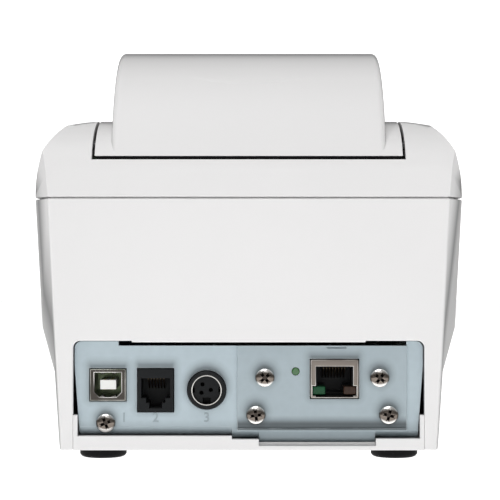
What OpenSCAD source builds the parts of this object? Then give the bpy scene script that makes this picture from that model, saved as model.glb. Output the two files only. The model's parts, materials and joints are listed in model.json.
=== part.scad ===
// Desktop thermal printer with a drop-in roll hopper.
// X runs to the right seen from the front, Y to the rear, Z up.
// The origin is on the table, under the middle of the machine.

/* [Case] */
// Widest width of the case, at the seam
body_w = 146; // [142:1:155]
// Depth of the case
body_d = 195; // [192:1:210]
// Height from the table to the top of the paper cover
body_h = 142.6; // [141:0.2:152]
// Thickness of the moulded walls
wall = 2.5; // [2:0.1:3]
// Height of the seam between the lower and the upper case
seam_z = 88.3; // [86:0.1:90]
// Open groove along the seam
seam_gap = 0.5; // [0.3:0.1:1]
// Height of the shoulders beside the paper cover
shoulder_z = 116; // [114:0.5:118]
// Radius of the shoulders' outer curve
shoulder_r = 36; // [34:1:50]
// How far the shoulders' tops fall towards the sides
crown_drop = 3; // [2:0.5:5]
// Width of that fall on each side
crown_w = 13; // [10:1:18]
// Height of the curve along the upper case's rear top edge
rear_top_h = 20; // [18:0.5:22]
// Depth of that curve
rear_top_d = 32; // [28:1:34]
// How far each side leans in from the seam to the waist
side_lean = 2.4; // [1:0.1:4]
// Height of the waist, where the sides turn in
waist_z = 44.5; // [42:0.5:50]
// Height of the slanted band under the waist
waist_band = 14.5; // [10:0.5:18]
// How far the slanted band runs in on each side
waist_in = 5.6; // [3:0.1:7]
// How far each side leans in below the band
skirt_lean = 1.8; // [0.5:0.1:3]
// Width of the slanted strips at the rear corners
corner_w = 6; // [4:0.5:8]
// Depth of the slanted strips at the rear corners
corner_d = 15; // [10:1:20]
// Width and depth of the slanted front corners
front_corner = 10.5; // [8:0.5:14]
// How far the front leans in below the waist
front_lean = 6; // [3:0.5:9]
// Depth of the upper case's sloping front
brow_d = 68; // [60:1:75]
// Fall of the upper case's sloping front
brow_drop = 12; // [8:1:14]

/* [Feet and base] */
// Height of the rubber feet
foot_h = 4; // [3:0.5:6]
// Diameter of the rubber feet
foot_d = 16; // [12:1:20]
// Distance of the feet from the middle, to each side
foot_x = 50; // [45:1:54]
// Distance of the feet from the front and the rear
foot_inset = 18; // [14:1:30]
// Thickness of the base's floor
floor_t = 2.5; // [2:0.1:3]
// Height of the base's rear corner tabs
tab_h = 11.8; // [8:0.2:16]

/* [Paper cover] */
// Width of the paper cover
cover_w = 103.4; // [100:0.2:106]
// Gap around the paper cover
cover_gap = 0.9; // [0.6:0.1:1.2]
// Height of the line where the upper case stops at the rear
cover_line_z = 101.4; // [100:0.2:103]
// Width of the raised hump
hump_w = 92.5; // [90:0.5:95]
// Outer radius of the hump over the roll
hump_r = 56.5; // [54:0.5:57]
// Depth from the rear face to the middle of the hump
hump_d = 57; // [56:0.5:60]
// Rounding along the hump's side edges
hump_edge_r = 2; // [1:0.5:3]
// Slope of the roof towards the front, degrees
roof_slope = 8.5; // [8:0.5:12]
// Depth from the rear face to the cover's front edge
cover_d = 131.5; // [130:0.5:134]
// Width of the paper exit slot
exit_slot = 3.5; // [3:0.1:3.8]
// Depth from the rear face to the hinge
hinge_d = 9; // [8.5:0.1:10]
// Height of the hinge above the cover line
hinge_up = 4.6; // [4.2:0.1:5]
// Diameter of the hinge pins
hinge_pin_d = 3; // [2:0.2:3.4]
// Clearance around turning shafts and pins
run_fit = 0.05; // [0.03:0.01:0.09]

/* [Roll hopper] */
// Diameter of the largest paper roll
roll_d = 83; // [80:1:84]
// Width of the paper roll
roll_w = 80; // [79:0.5:80]
// Room around the roll
roll_play = 3; // [2:0.5:3.5]
// Thickness of the hopper's walls
hopper_t = 2; // [1.5:0.1:2.5]

/* [Print mechanism] */
// Diameter of the platen roller
platen_d = 14; // [12:0.5:15]
// Width of the platen's rubber
platen_w = 80; // [78:0.5:81]
// Diameter of the platen's shaft
shaft_d = 6; // [4:0.5:6]
// Depth of the platen's axis behind the cover's front edge
platen_back = 6; // [5:0.5:8]
// Height of the platen's axis
platen_z = 106; // [105:0.5:107]
// Thickness of the mechanism's steel plates
plate_t = 1.5; // [1:0.1:2]
// Module of the paper feed gears next to the platen
feed_module = 0.6; // [0.5:0.05:0.6]
// Teeth of the platen gear
platen_teeth = 18; // [16:1:18]
// Teeth of the idler's small gear
idler_teeth = 12; // [12:1:14]
// Module of the gears next to the motor
motor_module = 0.5; // [0.5:0.05:0.55]
// Teeth of the idler's large gear
idler_big_teeth = 44; // [42:1:48]
// Teeth of the motor pinion
pinion_teeth = 12; // [12:1:14]
// Diameter of the feed motor
motor_d = 24; // [20:1:24]
// Length of the feed motor
motor_l = 20; // [16:1:22]
// Height of the print head
head_h = 20; // [18:0.5:21]

/* [Cutter] */
// Travel of the moving blade
blade_stroke = 12; // [10:0.5:12]
// Thickness of the moving blade
blade_t = 1; // [0.8:0.1:1.2]
// Height of the cutting line above the platen's axis
cut_up = 12.7; // [12.5:0.1:13]
// Module of the cutter's gears
cutter_module = 0.8; // [0.7:0.1:0.8]
// Teeth of the pinions that drive the blade
rack_pinion_teeth = 12; // [11:1:12]
// Teeth of the cutter shaft's gear
cutter_gear_teeth = 18; // [18:1:20]
// Teeth of the cutter motor's pinion
cutter_motor_teeth = 12; // [10:1:12]
// Diameter of the cutter motor
cutter_motor_d = 12; // [10:0.5:13]

/* [Rear panel] */
// Width of the opening in the rear of the case
panel_w = 117.2; // [116:0.2:118]
// Top of the opening above the table
panel_top = 40.5; // [40:0.1:42]
// Rounding of the opening's top corners
panel_r = 2.4; // [1:0.2:4]
// Depth of the rear plate inside the opening
panel_recess = 3; // [2:0.2:4]
// Thickness of the rear plate
sheet_t = 1.2; // [0.8:0.1:1.5]
// Outer radius of the rear plate's bottom bend
bend_r = 3; // [2:0.2:3]
// Distance of the interface card's plate from the middle
card_x = -24.5; // [-26:0.1:-23]
// Width of the interface card's plate
card_w = 56.6; // [55:0.1:57]
// Bottom of the interface card's plate
card_z = 10.3; // [10:0.1:11]
// Height of the interface card's plate
card_h = 28.5; // [27:0.1:28.6]
// Height of the USB socket
usb_z = 25.6; // [25:0.1:26]
// Distance of the USB socket from the middle
usb_x = 47.2; // [46:0.1:48]
// Height of the drawer socket
drawer_z = 23.8; // [23:0.1:24.4]
// Distance of the drawer socket from the middle
drawer_x = 31.2; // [30:0.1:32]
// Height of the power socket
power_z = 23.9; // [23:0.1:24.6]
// Distance of the power socket from the middle
power_x = 14.1; // [13:0.1:15]
// Height of the network socket
lan_z = 27.7; // [27:0.1:28]
// Distance of the network socket from the middle
lan_x = -28.7; // [-30:0.1:-27]
// Diameter of the panel screws' heads
screw_head_d = 6.3; // [5.5:0.1:6.6]
// Height of the main board's underside
board_z = 31.1; // [31:0.1:33]
// Thickness of the circuit boards
board_t = 1.6; // [1:0.1:1.6]

/* [Controls] */
// Diameter of the feed button
feed_button_d = 10; // [8:0.5:12]
// Travel of the feed button
feed_travel = 0.8; // [0.5:0.1:1]
// Distance of the controls from the middle
control_x = 60.5; // [60:0.1:61]
// Length of the cover release button
open_button_l = 18; // [14:1:20]
// Width of the cover release button
open_button_w = 9; // [8:0.5:10]
// Travel of the cover release button
open_travel = 1.7; // [1:0.1:1.7]
// Width of the power switch
rocker_w = 19; // [17:0.5:21]
// Height of the power switch
rocker_h = 13; // [11:0.5:14]

/* [Hidden] */
$fn = 48;
// Case
half_w = body_w / 2;
rear = body_d / 2;
front = -body_d / 2;
band_z = waist_z - waist_band;
half_waist = half_w - side_lean;
half_band = half_waist - waist_in;
half_foot = half_band - skirt_lean;
corner_turn = atan(corner_w / corner_d);
rear_lean = 1;
brow_y = front + brow_d;
nose_fall = 7;
crown_x = half_w - crown_w - 7.5;
lip_t = 1;
lip_h = 2.5;
screw_x = half_band - 10;
screw_ys = [front + 30, rear - 50];
screw_r = 1.25;
far = 300;
// Paper cover
half_cover = cover_w / 2;
half_hole = half_cover + cover_gap;
half_hump = hump_w / 2;
hump_y = rear - hump_d;
hump_z = body_h - hump_r;
cover_y = rear - cover_d;
slot_y = cover_y - exit_slot;
lid_z = cover_line_z + cover_gap;
hinge_y = rear - hinge_d;
hinge_z = cover_line_z + hinge_up;
ear_r = 4;
ear_t = 4;
curve_y = rear - rear_lean - rear_top_d;
curve_z = shoulder_z - rear_top_h;
lid_edge_y = curve_y + rear_top_d * sqrt(1 - pow((lid_z - curve_z) / rear_top_h, 2));
hinge_swing = norm([lid_edge_y - hinge_y, lid_z - hinge_z]) + 0.4;
mouth_z = 122;
// Front cover
face_top_d = 18;
face_low_d = 7.5;
face_rise = 22;
// Roll hopper
bucket_r = roll_d / 2 + roll_play;
bucket_w = roll_w + 2;
half_bucket = bucket_w / 2 + hopper_t;
rim_z = 97;
leg_r = 3.5;
leg_x = half_foot - wall - leg_r - 2.7;
leg_ys = [hump_y - 40.5, hump_y + 22.5];
// Print mechanism
platen_y = cover_y + platen_back;
platen_r = platen_d / 2;
half_platen = platen_w / 2;
arm_x = half_platen + 1;
arm_t = 2;
plate_x = 44.5;
plate_top = 112;
plate_low = 58;
mech_front = front + 11.5;
mech_back = hump_y - bucket_r - hopper_t - 1;
bush_r = 5;
gear_x0 = -51.2;
gear_w = 2;
big_gear_x0 = -54.2;
mesh_gap = 0.1;
idler_shift = 2;
idler_reach = feed_module * (platen_teeth + idler_teeth) / 2 + mesh_gap;
idler_drop = sqrt(idler_reach * idler_reach - idler_shift * idler_shift);
idler_y = platen_y - idler_shift;
idler_z = platen_z - idler_drop;
motor_shift = 4;
motor_reach = motor_module * (idler_big_teeth + pinion_teeth) / 2 + mesh_gap;
motor_drop = sqrt(motor_reach * motor_reach - motor_shift * motor_shift);
motor_y = idler_y + motor_shift;
motor_z = idler_z - motor_drop;
stud_r = 1.5;
motor_shaft_r = 1;
head_gap = 0.3;
head_y = platen_y - platen_r - head_gap;
head_low = platen_z - head_h / 2;
strip_t = 1;
sink_t = 3.2;
head_pivot_y = head_y - strip_t - sink_t / 2;
head_pivot_z = head_low - 3;
tail_l = 18;
tail_t = 2;
shelf_z = 80;
spring_y = head_pivot_y - 15;
spring_x = 25;
latch_y = head_pivot_y - 8.5;
latch_z = 86;
latch_r = 2;
latch_arm = 14;
// Cutter
cut_z = platen_z + cut_up;
blade_y = slot_y - 0.1;
blade_l = 26;
half_blade = half_platen + 0.5;
blade_lift = 1.3;
guide_gap = 0.3;
guide_z = cut_z + blade_t + guide_gap;
guide_t = 1.5;
cheek_x = half_platen + 1.7;
cheek_t = 1.7;
tip_rise = 0.85;
root_fall = 1.2;
rack_h = 3;
rack_x = 36;
rack_w = 3;
pinion_r = cutter_module * rack_pinion_teeth / 2;
cutter_y = blade_y - 20;
cutter_z = cut_z - rack_h + tip_rise * cutter_module - pinion_r - mesh_gap;
cutter_small_module = 0.6;
cutter_reach = cutter_small_module * (cutter_gear_teeth + cutter_motor_teeth) / 2 + mesh_gap;
cutter_motor_turn = 45;
cutter_motor_y = cutter_y - cutter_reach * cos(cutter_motor_turn);
cutter_motor_z = cutter_z - cutter_reach * sin(cutter_motor_turn);
cutter_gear_x = -32;
// Room behind the blade for the cutter's motor
motor_room = 12.9;
// Rear panel
half_panel = panel_w / 2;
panel_y = rear - panel_recess;
card_t = 1;
card_y = panel_y + card_t;
tab_z = foot_h + tab_h;
sill_steps = [[half_panel, 8.8], [5.6, 7.7], [-3.4, 5.5], [-42.4, 7.9], [-half_panel, 7.9]];
usb_w = 12;
usb_h = 10.6;
drawer_w = 11.9;
drawer_h = 14.3;
power_r = 6.35;
lan_w = 16;
lan_h = 12.9;
hole_gap = 0.25;
panel_screws = [[47.9, 12.9, 0], [-5.4, 28.1, 1], [-2.4, 15.6, 1], [-43.8, 28, 1], [-46.8, 15.6, 1]];
lamp_x = -15.7;
lamp_z = 30.2;
lamp_r = 1.25;
card_board_z = lan_z - lan_h / 2 - board_t;
// Boards
board_front = mech_back - 4;
board_rear = panel_y - sheet_t - 0.5;
half_board = 55;
board_post_x = 40;
board_post_ys = [board_front + 8, 30];
card_depth = 48;
// Controls
feed_y = front + 31.5;
open_y = latch_y - latch_arm;
lamp_ys = [front + 47.5, front + 54.5, front + 61.5];
lamp_window_r = 1.5;
panel_boss_ys = [front + 22.5, front + 66.5];
panel_board_z = 96;
rocker_x = -45;
rocker_z = 62;
rocker_tilt = 10;
rocker_axis_d = 3.9;
bezel_w = 1;
bezel_t = 1;
bezel_sink = 0.3;
switch_wall = 1.5;
switch_d = 9;
button_up = 1.3;
tube_half = 4.5;
stem_half = 2.5;
cap_t = 4.5;

// Helpers

// A block between two corners
module block(low, high) translate(low) cube(high - low);

// A (Y, Z) outline carried along X
module along_x(x0, x1) translate([x0, 0, 0]) rotate([90, 0, 90]) linear_extrude(x1 - x0) children();

// An (X, Z) outline carried along Y
module along_y(y0, y1) translate([0, y1, 0]) rotate([90, 0, 0]) linear_extrude(y1 - y0) children();

// Round bars along each direction
module bar_x(r, x0, x1, y, z) translate([x0, y, z]) rotate([0, 90, 0]) cylinder(r = r, h = x1 - x0);
module bar_y(r, y0, y1, x, z) translate([x, y1, z]) rotate([90, 0, 0]) cylinder(r = r, h = y1 - y0);
module bar_z(r, z0, z1, x, y) translate([x, y, z0]) cylinder(r = r, h = z1 - z0);

// Both sides of the machine
module both() {
    children();
    mirror([1, 0, 0]) children();
}

// Outline of a spur gear with straight flanks
function gear_points(teeth, module_mm) = [
    for (i = [0 : teeth - 1])
        for (corner = [[-1.08, -root_fall], [-0.3, tip_rise], [0.3, tip_rise], [1.08, -root_fall]])
            let (r = module_mm * (teeth / 2 + corner[1]))
            let (a = i * 360 / teeth + corner[0] * module_mm / r * 180 / PI)
            [r * cos(a), r * sin(a)]
];

module gear(teeth, module_mm, x0, x1, y, z, turn) {
    translate([0, y, z]) along_x(x0, x1) rotate(turn) polygon(gear_points(teeth, module_mm));
}

// Outer form of the case

module rear_corners(t) {
    lean = atan(side_lean * cos(corner_turn) / (seam_z - waist_z));
    both() translate([half_w - corner_w, rear, seam_z]) rotate([0, lean, corner_turn])
        translate([-t, -far / 2, -far / 2]) cube([far, far, far]);
}

module front_corners(t) {
    lean = atan(side_lean * cos(45) / (seam_z - waist_z));
    both() translate([half_w - front_corner, front, seam_z]) rotate([0, lean, -45])
        translate([-t, -far / 2, -far / 2]) cube([far, far, far]);
}

module lower_form(t, low, high) {
    half_high = half_waist + side_lean * (high - waist_z) / (seam_z - waist_z);
    difference() {
        intersection() {
            along_y(front, rear) polygon([
                [-half_foot + t, low], [half_foot - t, low], [half_band - t, band_z],
                    [half_waist - t, waist_z],
                [half_high - t, high], [-half_high + t, high], [-half_waist + t, waist_z],
                    [-half_band + t, band_z]
            ]);
            along_x(-half_w - 1, half_w + 1) polygon([
                [front + front_lean + t, low], [rear - t, low], [rear - t, high],
                [front + t, high], [front + t, waist_z], [front + front_lean + t, band_z]
            ]);
        }
        rear_corners(t);
        front_corners(t);
    }
}

// Side outline of the upper case
module upper_side(t, low) {
    top = shoulder_z - t;
    translate([curve_y, curve_z]) scale([(rear_top_d - t) / (rear_top_h - t), 1])
        circle(r = rear_top_h - t, $fn = 128);
    polygon([
        [front + t, low], [rear - t, low], [rear - t, seam_z], [rear - rear_lean - t, curve_z],
        [curve_y, curve_z], [curve_y, top], [brow_y, top],
        [front + nose_fall + t, top - brow_drop], [front + t, seam_z]
    ]);
}

// A strip of the upper case's skin between two depths, above the cover line
module skin_strip(y0, y1) {
    along_x(-half_cover, half_cover) intersection() {
        difference() {
            upper_side(0, seam_z);
            upper_side(wall, seam_z - 1);
        }
        square_from(y0, y1, lid_z, far);
    }
}

module upper_form(t, low) {
    reach = crown_drop * (half_w - crown_x) / crown_w;
    top = shoulder_z - t;
    difference() {
        intersection() {
            along_y(front, rear) intersection() {
                union() {
                    for (side = [-1, 1]) translate([side * (half_w - shoulder_r), seam_z])
                        circle(r = shoulder_r - t, $fn = 96);
                    translate([shoulder_r - half_w, low]) square([2 * (half_w - shoulder_r), far]);
                }
                polygon([
                    [-half_w, low], [half_w, low], [half_w, top - reach], [crown_x, top],
                    [-crown_x, top], [-half_w, top - reach]
                ]);
            }
            along_x(-half_w, half_w) upper_side(t, low);
        }
        rear_corners(t);
        front_corners(t);
    }
}

// Drum over the roll with its roof running to the front
module hump_form(t) {
    r = hump_r - t;
    w = half_hump - t;
    edge = max(hump_edge_r - t, 0.4);
    translate([0, hump_y, hump_z]) rotate([roof_slope, 0, 0]) {
        rotate([0, 90, 0]) rotate_extrude(angle = 180, $fn = 160) intersection() {
            round_top(r, w, edge);
            translate([0, -w]) square([r, 2 * w]);
        }
        along_y(-far / 2, 0) rotate(90) round_top(r, w, edge);
    }
}

// A bar's end outline: r long, w to each side, with two rounded corners
module round_top(r, w, edge) {
    translate([-r / 2, -w]) square([r * 1.5 - edge, 2 * w]);
    translate([-r / 2, edge - w]) square([r * 1.5, 2 * (w - edge)]);
    for (side = [-1, 1]) translate([r - edge, side * (w - edge)]) circle(r = edge, $fn = 32);
}

// Enclosure

module base_tray() {
    side = half_foot - wall - 0.3;
    inner_front = front + front_lean + wall + 0.3;
    color("whitesmoke") difference() {
        union() {
            block([-side, inner_front, foot_h], [side, rear - wall - 0.3, foot_h + floor_t]);
            // Sill under the rear opening, with its stepped top
            for (i = [0 : len(sill_steps) - 2])
                block([sill_steps[i + 1][0], rear - wall - 0.4, foot_h],
                    [sill_steps[i][0], rear, sill_steps[i][1]]);
            // Corner tabs
            both() block([half_panel - 1.5, rear - wall, foot_h], [half_panel, rear, tab_z]);
            // Posts under the mechanism
            both() for (y = [mech_front + 6, mech_back - 12]) {
                bar_z(4.5, foot_h + floor_t - 1, plate_low, plate_x - 8, y);
                bar_z(7, foot_h + floor_t - 1, foot_h + floor_t + 4, plate_x - 8, y);
            }
            // Posts under the boards
            both() for (y = board_post_ys) bar_z(3.5, foot_h + floor_t - 1, board_z, board_post_x, y);
        }
        // Pocket for the rear plate's low flange
        block([sill_steps[3][0] - 1, rear - 20, sill_steps[2][1]],
            [sill_steps[2][0] + 1, rear - wall - 0.4, 20]);
        // Seats for the feet
        both() for (y = [front + foot_inset, rear - foot_inset])
            bar_z(foot_d / 2 - 2, 0, foot_h + 1, foot_x, y);
        both() for (y = screw_ys) bar_z(3.4, 0, foot_h + 1.2, screw_x, y);
        both() for (y = screw_ys) bar_z(1.7, 0, foot_h + floor_t + 1, screw_x, y);
    }
}

module feet() {
    color("dimgray") both() for (y = [front + foot_inset, rear - foot_inset]) translate([foot_x, y, 0]) {
        cylinder(r1 = foot_d / 2 - 1, r2 = foot_d / 2, h = 1.2);
        translate([0, 0, 1.2]) cylinder(r = foot_d / 2, h = foot_h - 1.2);
        translate([0, 0, foot_h]) cylinder(r = foot_d / 2 - 2, h = 1);
    }
}

module lower_case() {
    color("white") difference() {
        union() {
            difference() {
                lower_form(0, foot_h, seam_z - seam_gap / 2);
                lower_form(wall, foot_h - 1, seam_z + 1);
            }
            // Lip that the upper case fits over
            difference() {
                lower_form(wall - lip_t, seam_z - 4, seam_z + lip_h);
                lower_form(wall, seam_z - 5, seam_z + lip_h + 1);
                block([-half_w, front, seam_z - 5], [half_w, rear, seam_z - seam_gap / 2 - 2]);
            }
            // Bosses for the base's screws
            intersection() {
                both() for (y = screw_ys) {
                    bar_z(4, foot_h + floor_t, band_z, screw_x, y);
                    block([screw_x, y - 1, foot_h + floor_t + 4], [half_band - 1, y + 1, band_z]);
                }
                lower_form(0.5, foot_h, seam_z);
            }
        }
        both() for (y = screw_ys) bar_z(screw_r, foot_h, foot_h + 14, screw_x, y);
        // Rear opening
        along_y(rear - wall - 1, rear + 1) union() {
            square_from(-half_panel, half_panel, foot_h - 1, panel_top - panel_r);
            square_from(-half_panel + panel_r, half_panel - panel_r, foot_h - 1, panel_top);
            for (side = [-1, 1]) translate([side * (half_panel - panel_r), panel_top - panel_r])
                circle(r = panel_r);
        }
        // Power switch, its frame sunk into a shallow pocket
        front_box(rocker_w / 2 + 0.1, rocker_h / 2 + 0.1, -1, wall + 1);
        front_box(rocker_w / 2 + bezel_w + 0.2, rocker_h / 2 + bezel_w + 0.2, -1, bezel_sink + bezel_t);
    }
    // Shallow lip hanging into the opening's middle
    color("white") block([-half_panel + 19.5, rear - wall, panel_top - 0.5],
        [half_panel - 19.5, rear, panel_top]);
}

// A block round the power switch, between two depths behind the front
module front_box(half_x, half_z, depth_0, depth_1)
    block([rocker_x - half_x, front + depth_0, rocker_z - half_z],
        [rocker_x + half_x, front + depth_1, rocker_z + half_z]);

module square_from(x0, x1, y0, y1) translate([x0, y0]) square([x1 - x0, y1 - y0]);

module case_screws() {
    color("silver") both() for (y = screw_ys) translate([screw_x, y, foot_h - 0.2]) difference() {
        union() {
            cylinder(r = 3, h = 1.4);
            cylinder(r = screw_r, h = 12);
        }
        cross_slot(1.4, 0.5, 0.8);
    }
}

// A cross recess cut up from z = 0
module cross_slot(reach, half, depth) {
    translate([-reach, -half, -0.1]) cube([2 * reach, 2 * half, depth + 0.1]);
    translate([-half, -reach, -0.1]) cube([2 * half, 2 * reach, depth + 0.1]);
}

// Surface height of the upper case's brow at a depth y and a side distance x
function brow_z(x, y) = shoulder_z - brow_drop * (brow_y - y) / (brow_d - nose_fall)
    - crown_drop * max(0, abs(x) - crown_x) / crown_w;

// Highest point of a plate under the brow's skin
function under_brow(y) = brow_z(0, y) - wall - 1;

module upper_case() {
    low = seam_z + seam_gap / 2;
    open_z = brow_z(control_x, open_y);
    tube_z = open_z - cap_t - open_travel - 0.5;
    color("white") difference() {
        union() {
            difference() {
                upper_form(0, low);
                upper_form(wall, low - 1);
                // Opening for the paper cover and the front cover
                block([-half_hole, front - 1, cover_line_z], [half_hole, rear + 1, far]);
                // Room for the lower case's lip
                lower_form(wall - lip_t - 0.15, seam_z - 5, seam_z + lip_h + 0.3);
                // Room for the cover's rear edge as it swings in
                bar_x(hinge_swing, -half_hole, half_hole, hinge_y, hinge_z);
            }
            // Hinge bosses
            intersection() {
                both() bar_x(ear_r, half_hole, half_hole + 6, hinge_y, hinge_z);
                upper_form(0.6, low);
            }
            intersection() {
                both() block([half_hole, hinge_y - 3, hinge_z - 3],
                    [half_hole + 6, hinge_y + 7, hinge_z + 8]);
                upper_form(0.6, low);
            }
            // Bosses that carry the panel board
            for (y = panel_boss_ys)
                bar_z(2.5, panel_board_z + board_t, brow_z(control_x, y) - 1, control_x, y);
            // Guide tube of the release button, hung on two ribs
            intersection() {
                translate([-control_x, open_y, 0]) {
                    difference() {
                        block([-tube_half, -tube_half, tube_z - 4], [tube_half, tube_half, tube_z]);
                        block([-stem_half - 0.3, -stem_half - 0.3, tube_z - 5],
                            [stem_half + 0.3, stem_half + 0.3, tube_z + 1]);
                    }
                    for (turn = [0, 180]) rotate(turn)
                        block([-1, tube_half - 0.1, tube_z - 4], [1, open_button_l / 2 + 3, open_z + 3]);
                }
                upper_form(0.6, low);
            }
        }
        both() bar_x(hinge_pin_d / 2, half_hole - 1, half_hole + 5, hinge_y, hinge_z);
        // Feed button, lamp windows and release button
        bar_z(feed_button_d / 2 + 0.3, 100, far, control_x, feed_y);
        for (y = lamp_ys) bar_z(lamp_window_r, 100, far, control_x, y);
        block([-control_x - open_button_w / 2 - 0.3, open_y - open_button_l / 2 - 0.3, tube_z],
            [-control_x + open_button_w / 2 + 0.3, open_y + open_button_l / 2 + 0.3, far]);
    }
}
// Side outline of the front cover
module front_profile(t) {
    polygon([
        [slot_y - t, lid_z - (t > 0 ? 2 : 0)], [slot_y - t, far],
        [front + face_top_d + t + 20, far], [front + face_top_d + t, lid_z + face_rise],
        [front + face_low_d + t, lid_z - (t > 0 ? 2 : 0)]
    ]);
}

module front_cover() {
    boss_y = mech_front + 24;
    boss_x = 30;
    boss_r = 3.5;
    color("white") difference() {
        union() {
            intersection() {
                hump_form(0);
                along_x(-half_w, half_w) front_profile(0);
            }
            skin_strip(front, slot_y);
        }
        difference() {
            intersection() {
                hump_form(wall);
                along_x(-half_w, half_w) front_profile(wall);
            }
            both() bar_z(boss_r, guide_z + guide_t, far, boss_x, boss_y);
        }
        // Mouth for the moving blade and the paper
        block([-half_blade - 1, slot_y - wall - 1, lid_z - 1], [half_blade + 1, slot_y + 1, mouth_z]);
        // Nothing hangs below the flanges' underside behind the front wall
        along_x(-half_cover, half_cover) intersection() {
            upper_side(wall, seam_z);
            square_from(front + face_low_d + wall, slot_y + 1, seam_z, far);
        }
    }
}

module paper_cover() {
    color("white") difference() {
        union() {
            intersection() {
                hump_form(0);
                block([-half_w, cover_y, lid_z], [half_w, rear, far]);
            }
            skin_strip(cover_y, rear);
            // Hinge ears
            intersection() {
                both() union() {
                    bar_x(ear_r, half_cover - ear_t, half_cover, hinge_y, hinge_z);
                    block([half_cover - ear_t, hinge_y - ear_r, hinge_z],
                        [half_cover, hinge_y + ear_r, hinge_z + 8]);
                }
                along_x(-half_w, half_w) upper_side(0.3, seam_z);
            }
        }
        intersection() {
            hump_form(wall);
            block([-half_w, cover_y + wall, 0], [half_w, rear, far]);
        }
        // Open underneath, ahead of the rear curve
        block([-half_cover - 1, cover_y - 1, lid_z - 1],
            [half_cover + 1, hinge_y - ear_r - 8, shoulder_z - wall]);
        // Mouth for the paper and the moving blade
        block([-half_blade - 1, cover_y - 1, lid_z], [half_blade + 1, cover_y + wall + 1, mouth_z]);
        both() bar_x(hinge_pin_d / 2 + run_fit, half_cover - ear_t - 1, half_cover + 1, hinge_y, hinge_z);
    }
}

module hinge_pins() {
    color("silver") both()
        bar_x(hinge_pin_d / 2, half_cover - ear_t + 0.3, half_hole + 5, hinge_y, hinge_z);
}

// Rear panel

module panel_outline(inset) {
    side = half_panel - 0.2 - inset;
    top = panel_top - 0.2;
    union() {
        polygon([
            [-side + 1.6, bend_r + 7.9], [-side + 1.2, tab_z], [-side, 32], [-side, top - panel_r],
            [side, top - panel_r], [side, 32], [side - 1.2, tab_z], [side - 1.6, bend_r + 8.8]
        ]);
        square_from(-side + panel_r, side - panel_r, 30, top);
        for (s = [-1, 1]) translate([s * (side - panel_r), top - panel_r]) circle(r = panel_r);
    }
}

module rear_plate() {
    color("lightsteelblue") difference() {
        union() {
            along_y(panel_y - sheet_t, panel_y) difference() {
                panel_outline(0);
                // Relief along the top
                square_from(card_x - card_w / 2, half_panel - 15, card_z + card_h, panel_top);
            }
            // Bent foot in steps
            for (i = [0 : len(sill_steps) - 2]) {
                x0 = i == 3 ? -half_panel + 1.8 : sill_steps[i + 1][0];
                x1 = i == 0 ? half_panel - 1.8 : sill_steps[i][0];
                low = sill_steps[i][1];
                along_x(x0, x1) bend(low);
            }
        }
        panel_holes(hole_gap);
        // Window behind the interface card
        block([card_x - 24, panel_y - 5, card_board_z - 0.5], [card_x + 15.5, panel_y + 5, 36]);
        for (s = panel_screws) bar_y(1.5, panel_y - 5, panel_y + 5, s[0], s[1]);
    }
}

// Sheet that runs down and turns inward at the bottom
module bend(low) {
    centre = low + bend_r;
    square_from(panel_y - sheet_t, panel_y, centre, 12.4);
    translate([panel_y - bend_r, centre]) intersection() {
        difference() {
            circle(r = bend_r);
            circle(r = bend_r - sheet_t);
        }
        translate([0, -bend_r]) square([bend_r, bend_r]);
    }
    square_from(panel_y - bend_r - 7, panel_y - bend_r, low, low + sheet_t);
}

// Clearance holes for the sockets of the main board
module panel_holes(gap) {
    block([usb_x - usb_w / 2 - gap, panel_y - 5, usb_z - usb_h / 2 - gap],
        [usb_x + usb_w / 2 + gap, panel_y + 5, usb_z + usb_h / 2 + gap]);
    block([drawer_x - drawer_w / 2 - gap, panel_y - 5, drawer_z - drawer_h / 2 - gap],
        [drawer_x + drawer_w / 2 + gap, panel_y + 5, drawer_z + drawer_h / 2 + gap]);
    bar_y(power_r + gap, panel_y - 5, panel_y + 5, power_x, power_z);
}

module card_plate() {
    x0 = card_x - card_w / 2;
    x1 = card_x + card_w / 2;
    color("lightsteelblue") difference() {
        union() {
            block([x0, panel_y, card_z], [x1, card_y, card_z + card_h]);
            // Flange turned outward along the bottom
            block([x0, panel_y, card_z], [x1, card_y + 1.1, card_z + 0.9]);
        }
        block([lan_x - lan_w / 2 - hole_gap, panel_y - 5, lan_z - lan_h / 2 - hole_gap],
            [lan_x + lan_w / 2 + hole_gap, panel_y + 5, lan_z + lan_h / 2 + hole_gap]);
        bar_y(lamp_r + 0.1, panel_y - 5, panel_y + 5, lamp_x, lamp_z);
        for (s = panel_screws) if (s[2] > 0) bar_y(1.5, panel_y - 5, panel_y + 5, s[0], s[1]);
        // Slot of the bent tab at the top
        block([lan_x - 4, panel_y - 1, card_z + card_h - 0.9],
            [lan_x + 2.5, card_y + 1, card_z + card_h - 0.4]);
    }
}

module panel_screws() {
    color("silver") for (s = panel_screws) translate([s[0], panel_y + s[2] * card_t, s[1]])
        rotate([-90, 0, 0])
        pan_screw();
}

// A pan head screw, its head above z = 0 and its thread below
module pan_screw() {
    r = screw_head_d / 2;
    difference() {
        union() {
            cylinder(r = r, h = 0.9);
            intersection() {
                translate([0, 0, 0.9 - r * 1.2]) sphere(r = r * 1.562);
                translate([0, 0, 0.9]) cylinder(r = r, h = 3);
            }
            translate([0, 0, -6]) cylinder(r = 1.5, h = 6);
        }
        translate([0, 0, 0.9 + r * 0.362]) rotate([180, 0, 0]) cross_slot(1.7, 0.45, 1.3);
    }
}

module usb_shell() {
    color("silver") along_y(panel_y - 14, panel_y + 0.4) difference() {
        translate([usb_x, usb_z]) square([usb_w, usb_h], center = true);
        usb_mouth();
    }
    color("silver") along_y(panel_y - 15.5, panel_y - 14) translate([usb_x, usb_z])
        square([usb_w, usb_h], center = true);
    // Seat on the main board's underside
    color("silver") block([usb_x - usb_w / 2, panel_y - 15.5, usb_z + usb_h / 2 - 0.1],
        [usb_x + usb_w / 2, board_rear, board_z]);
}

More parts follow.
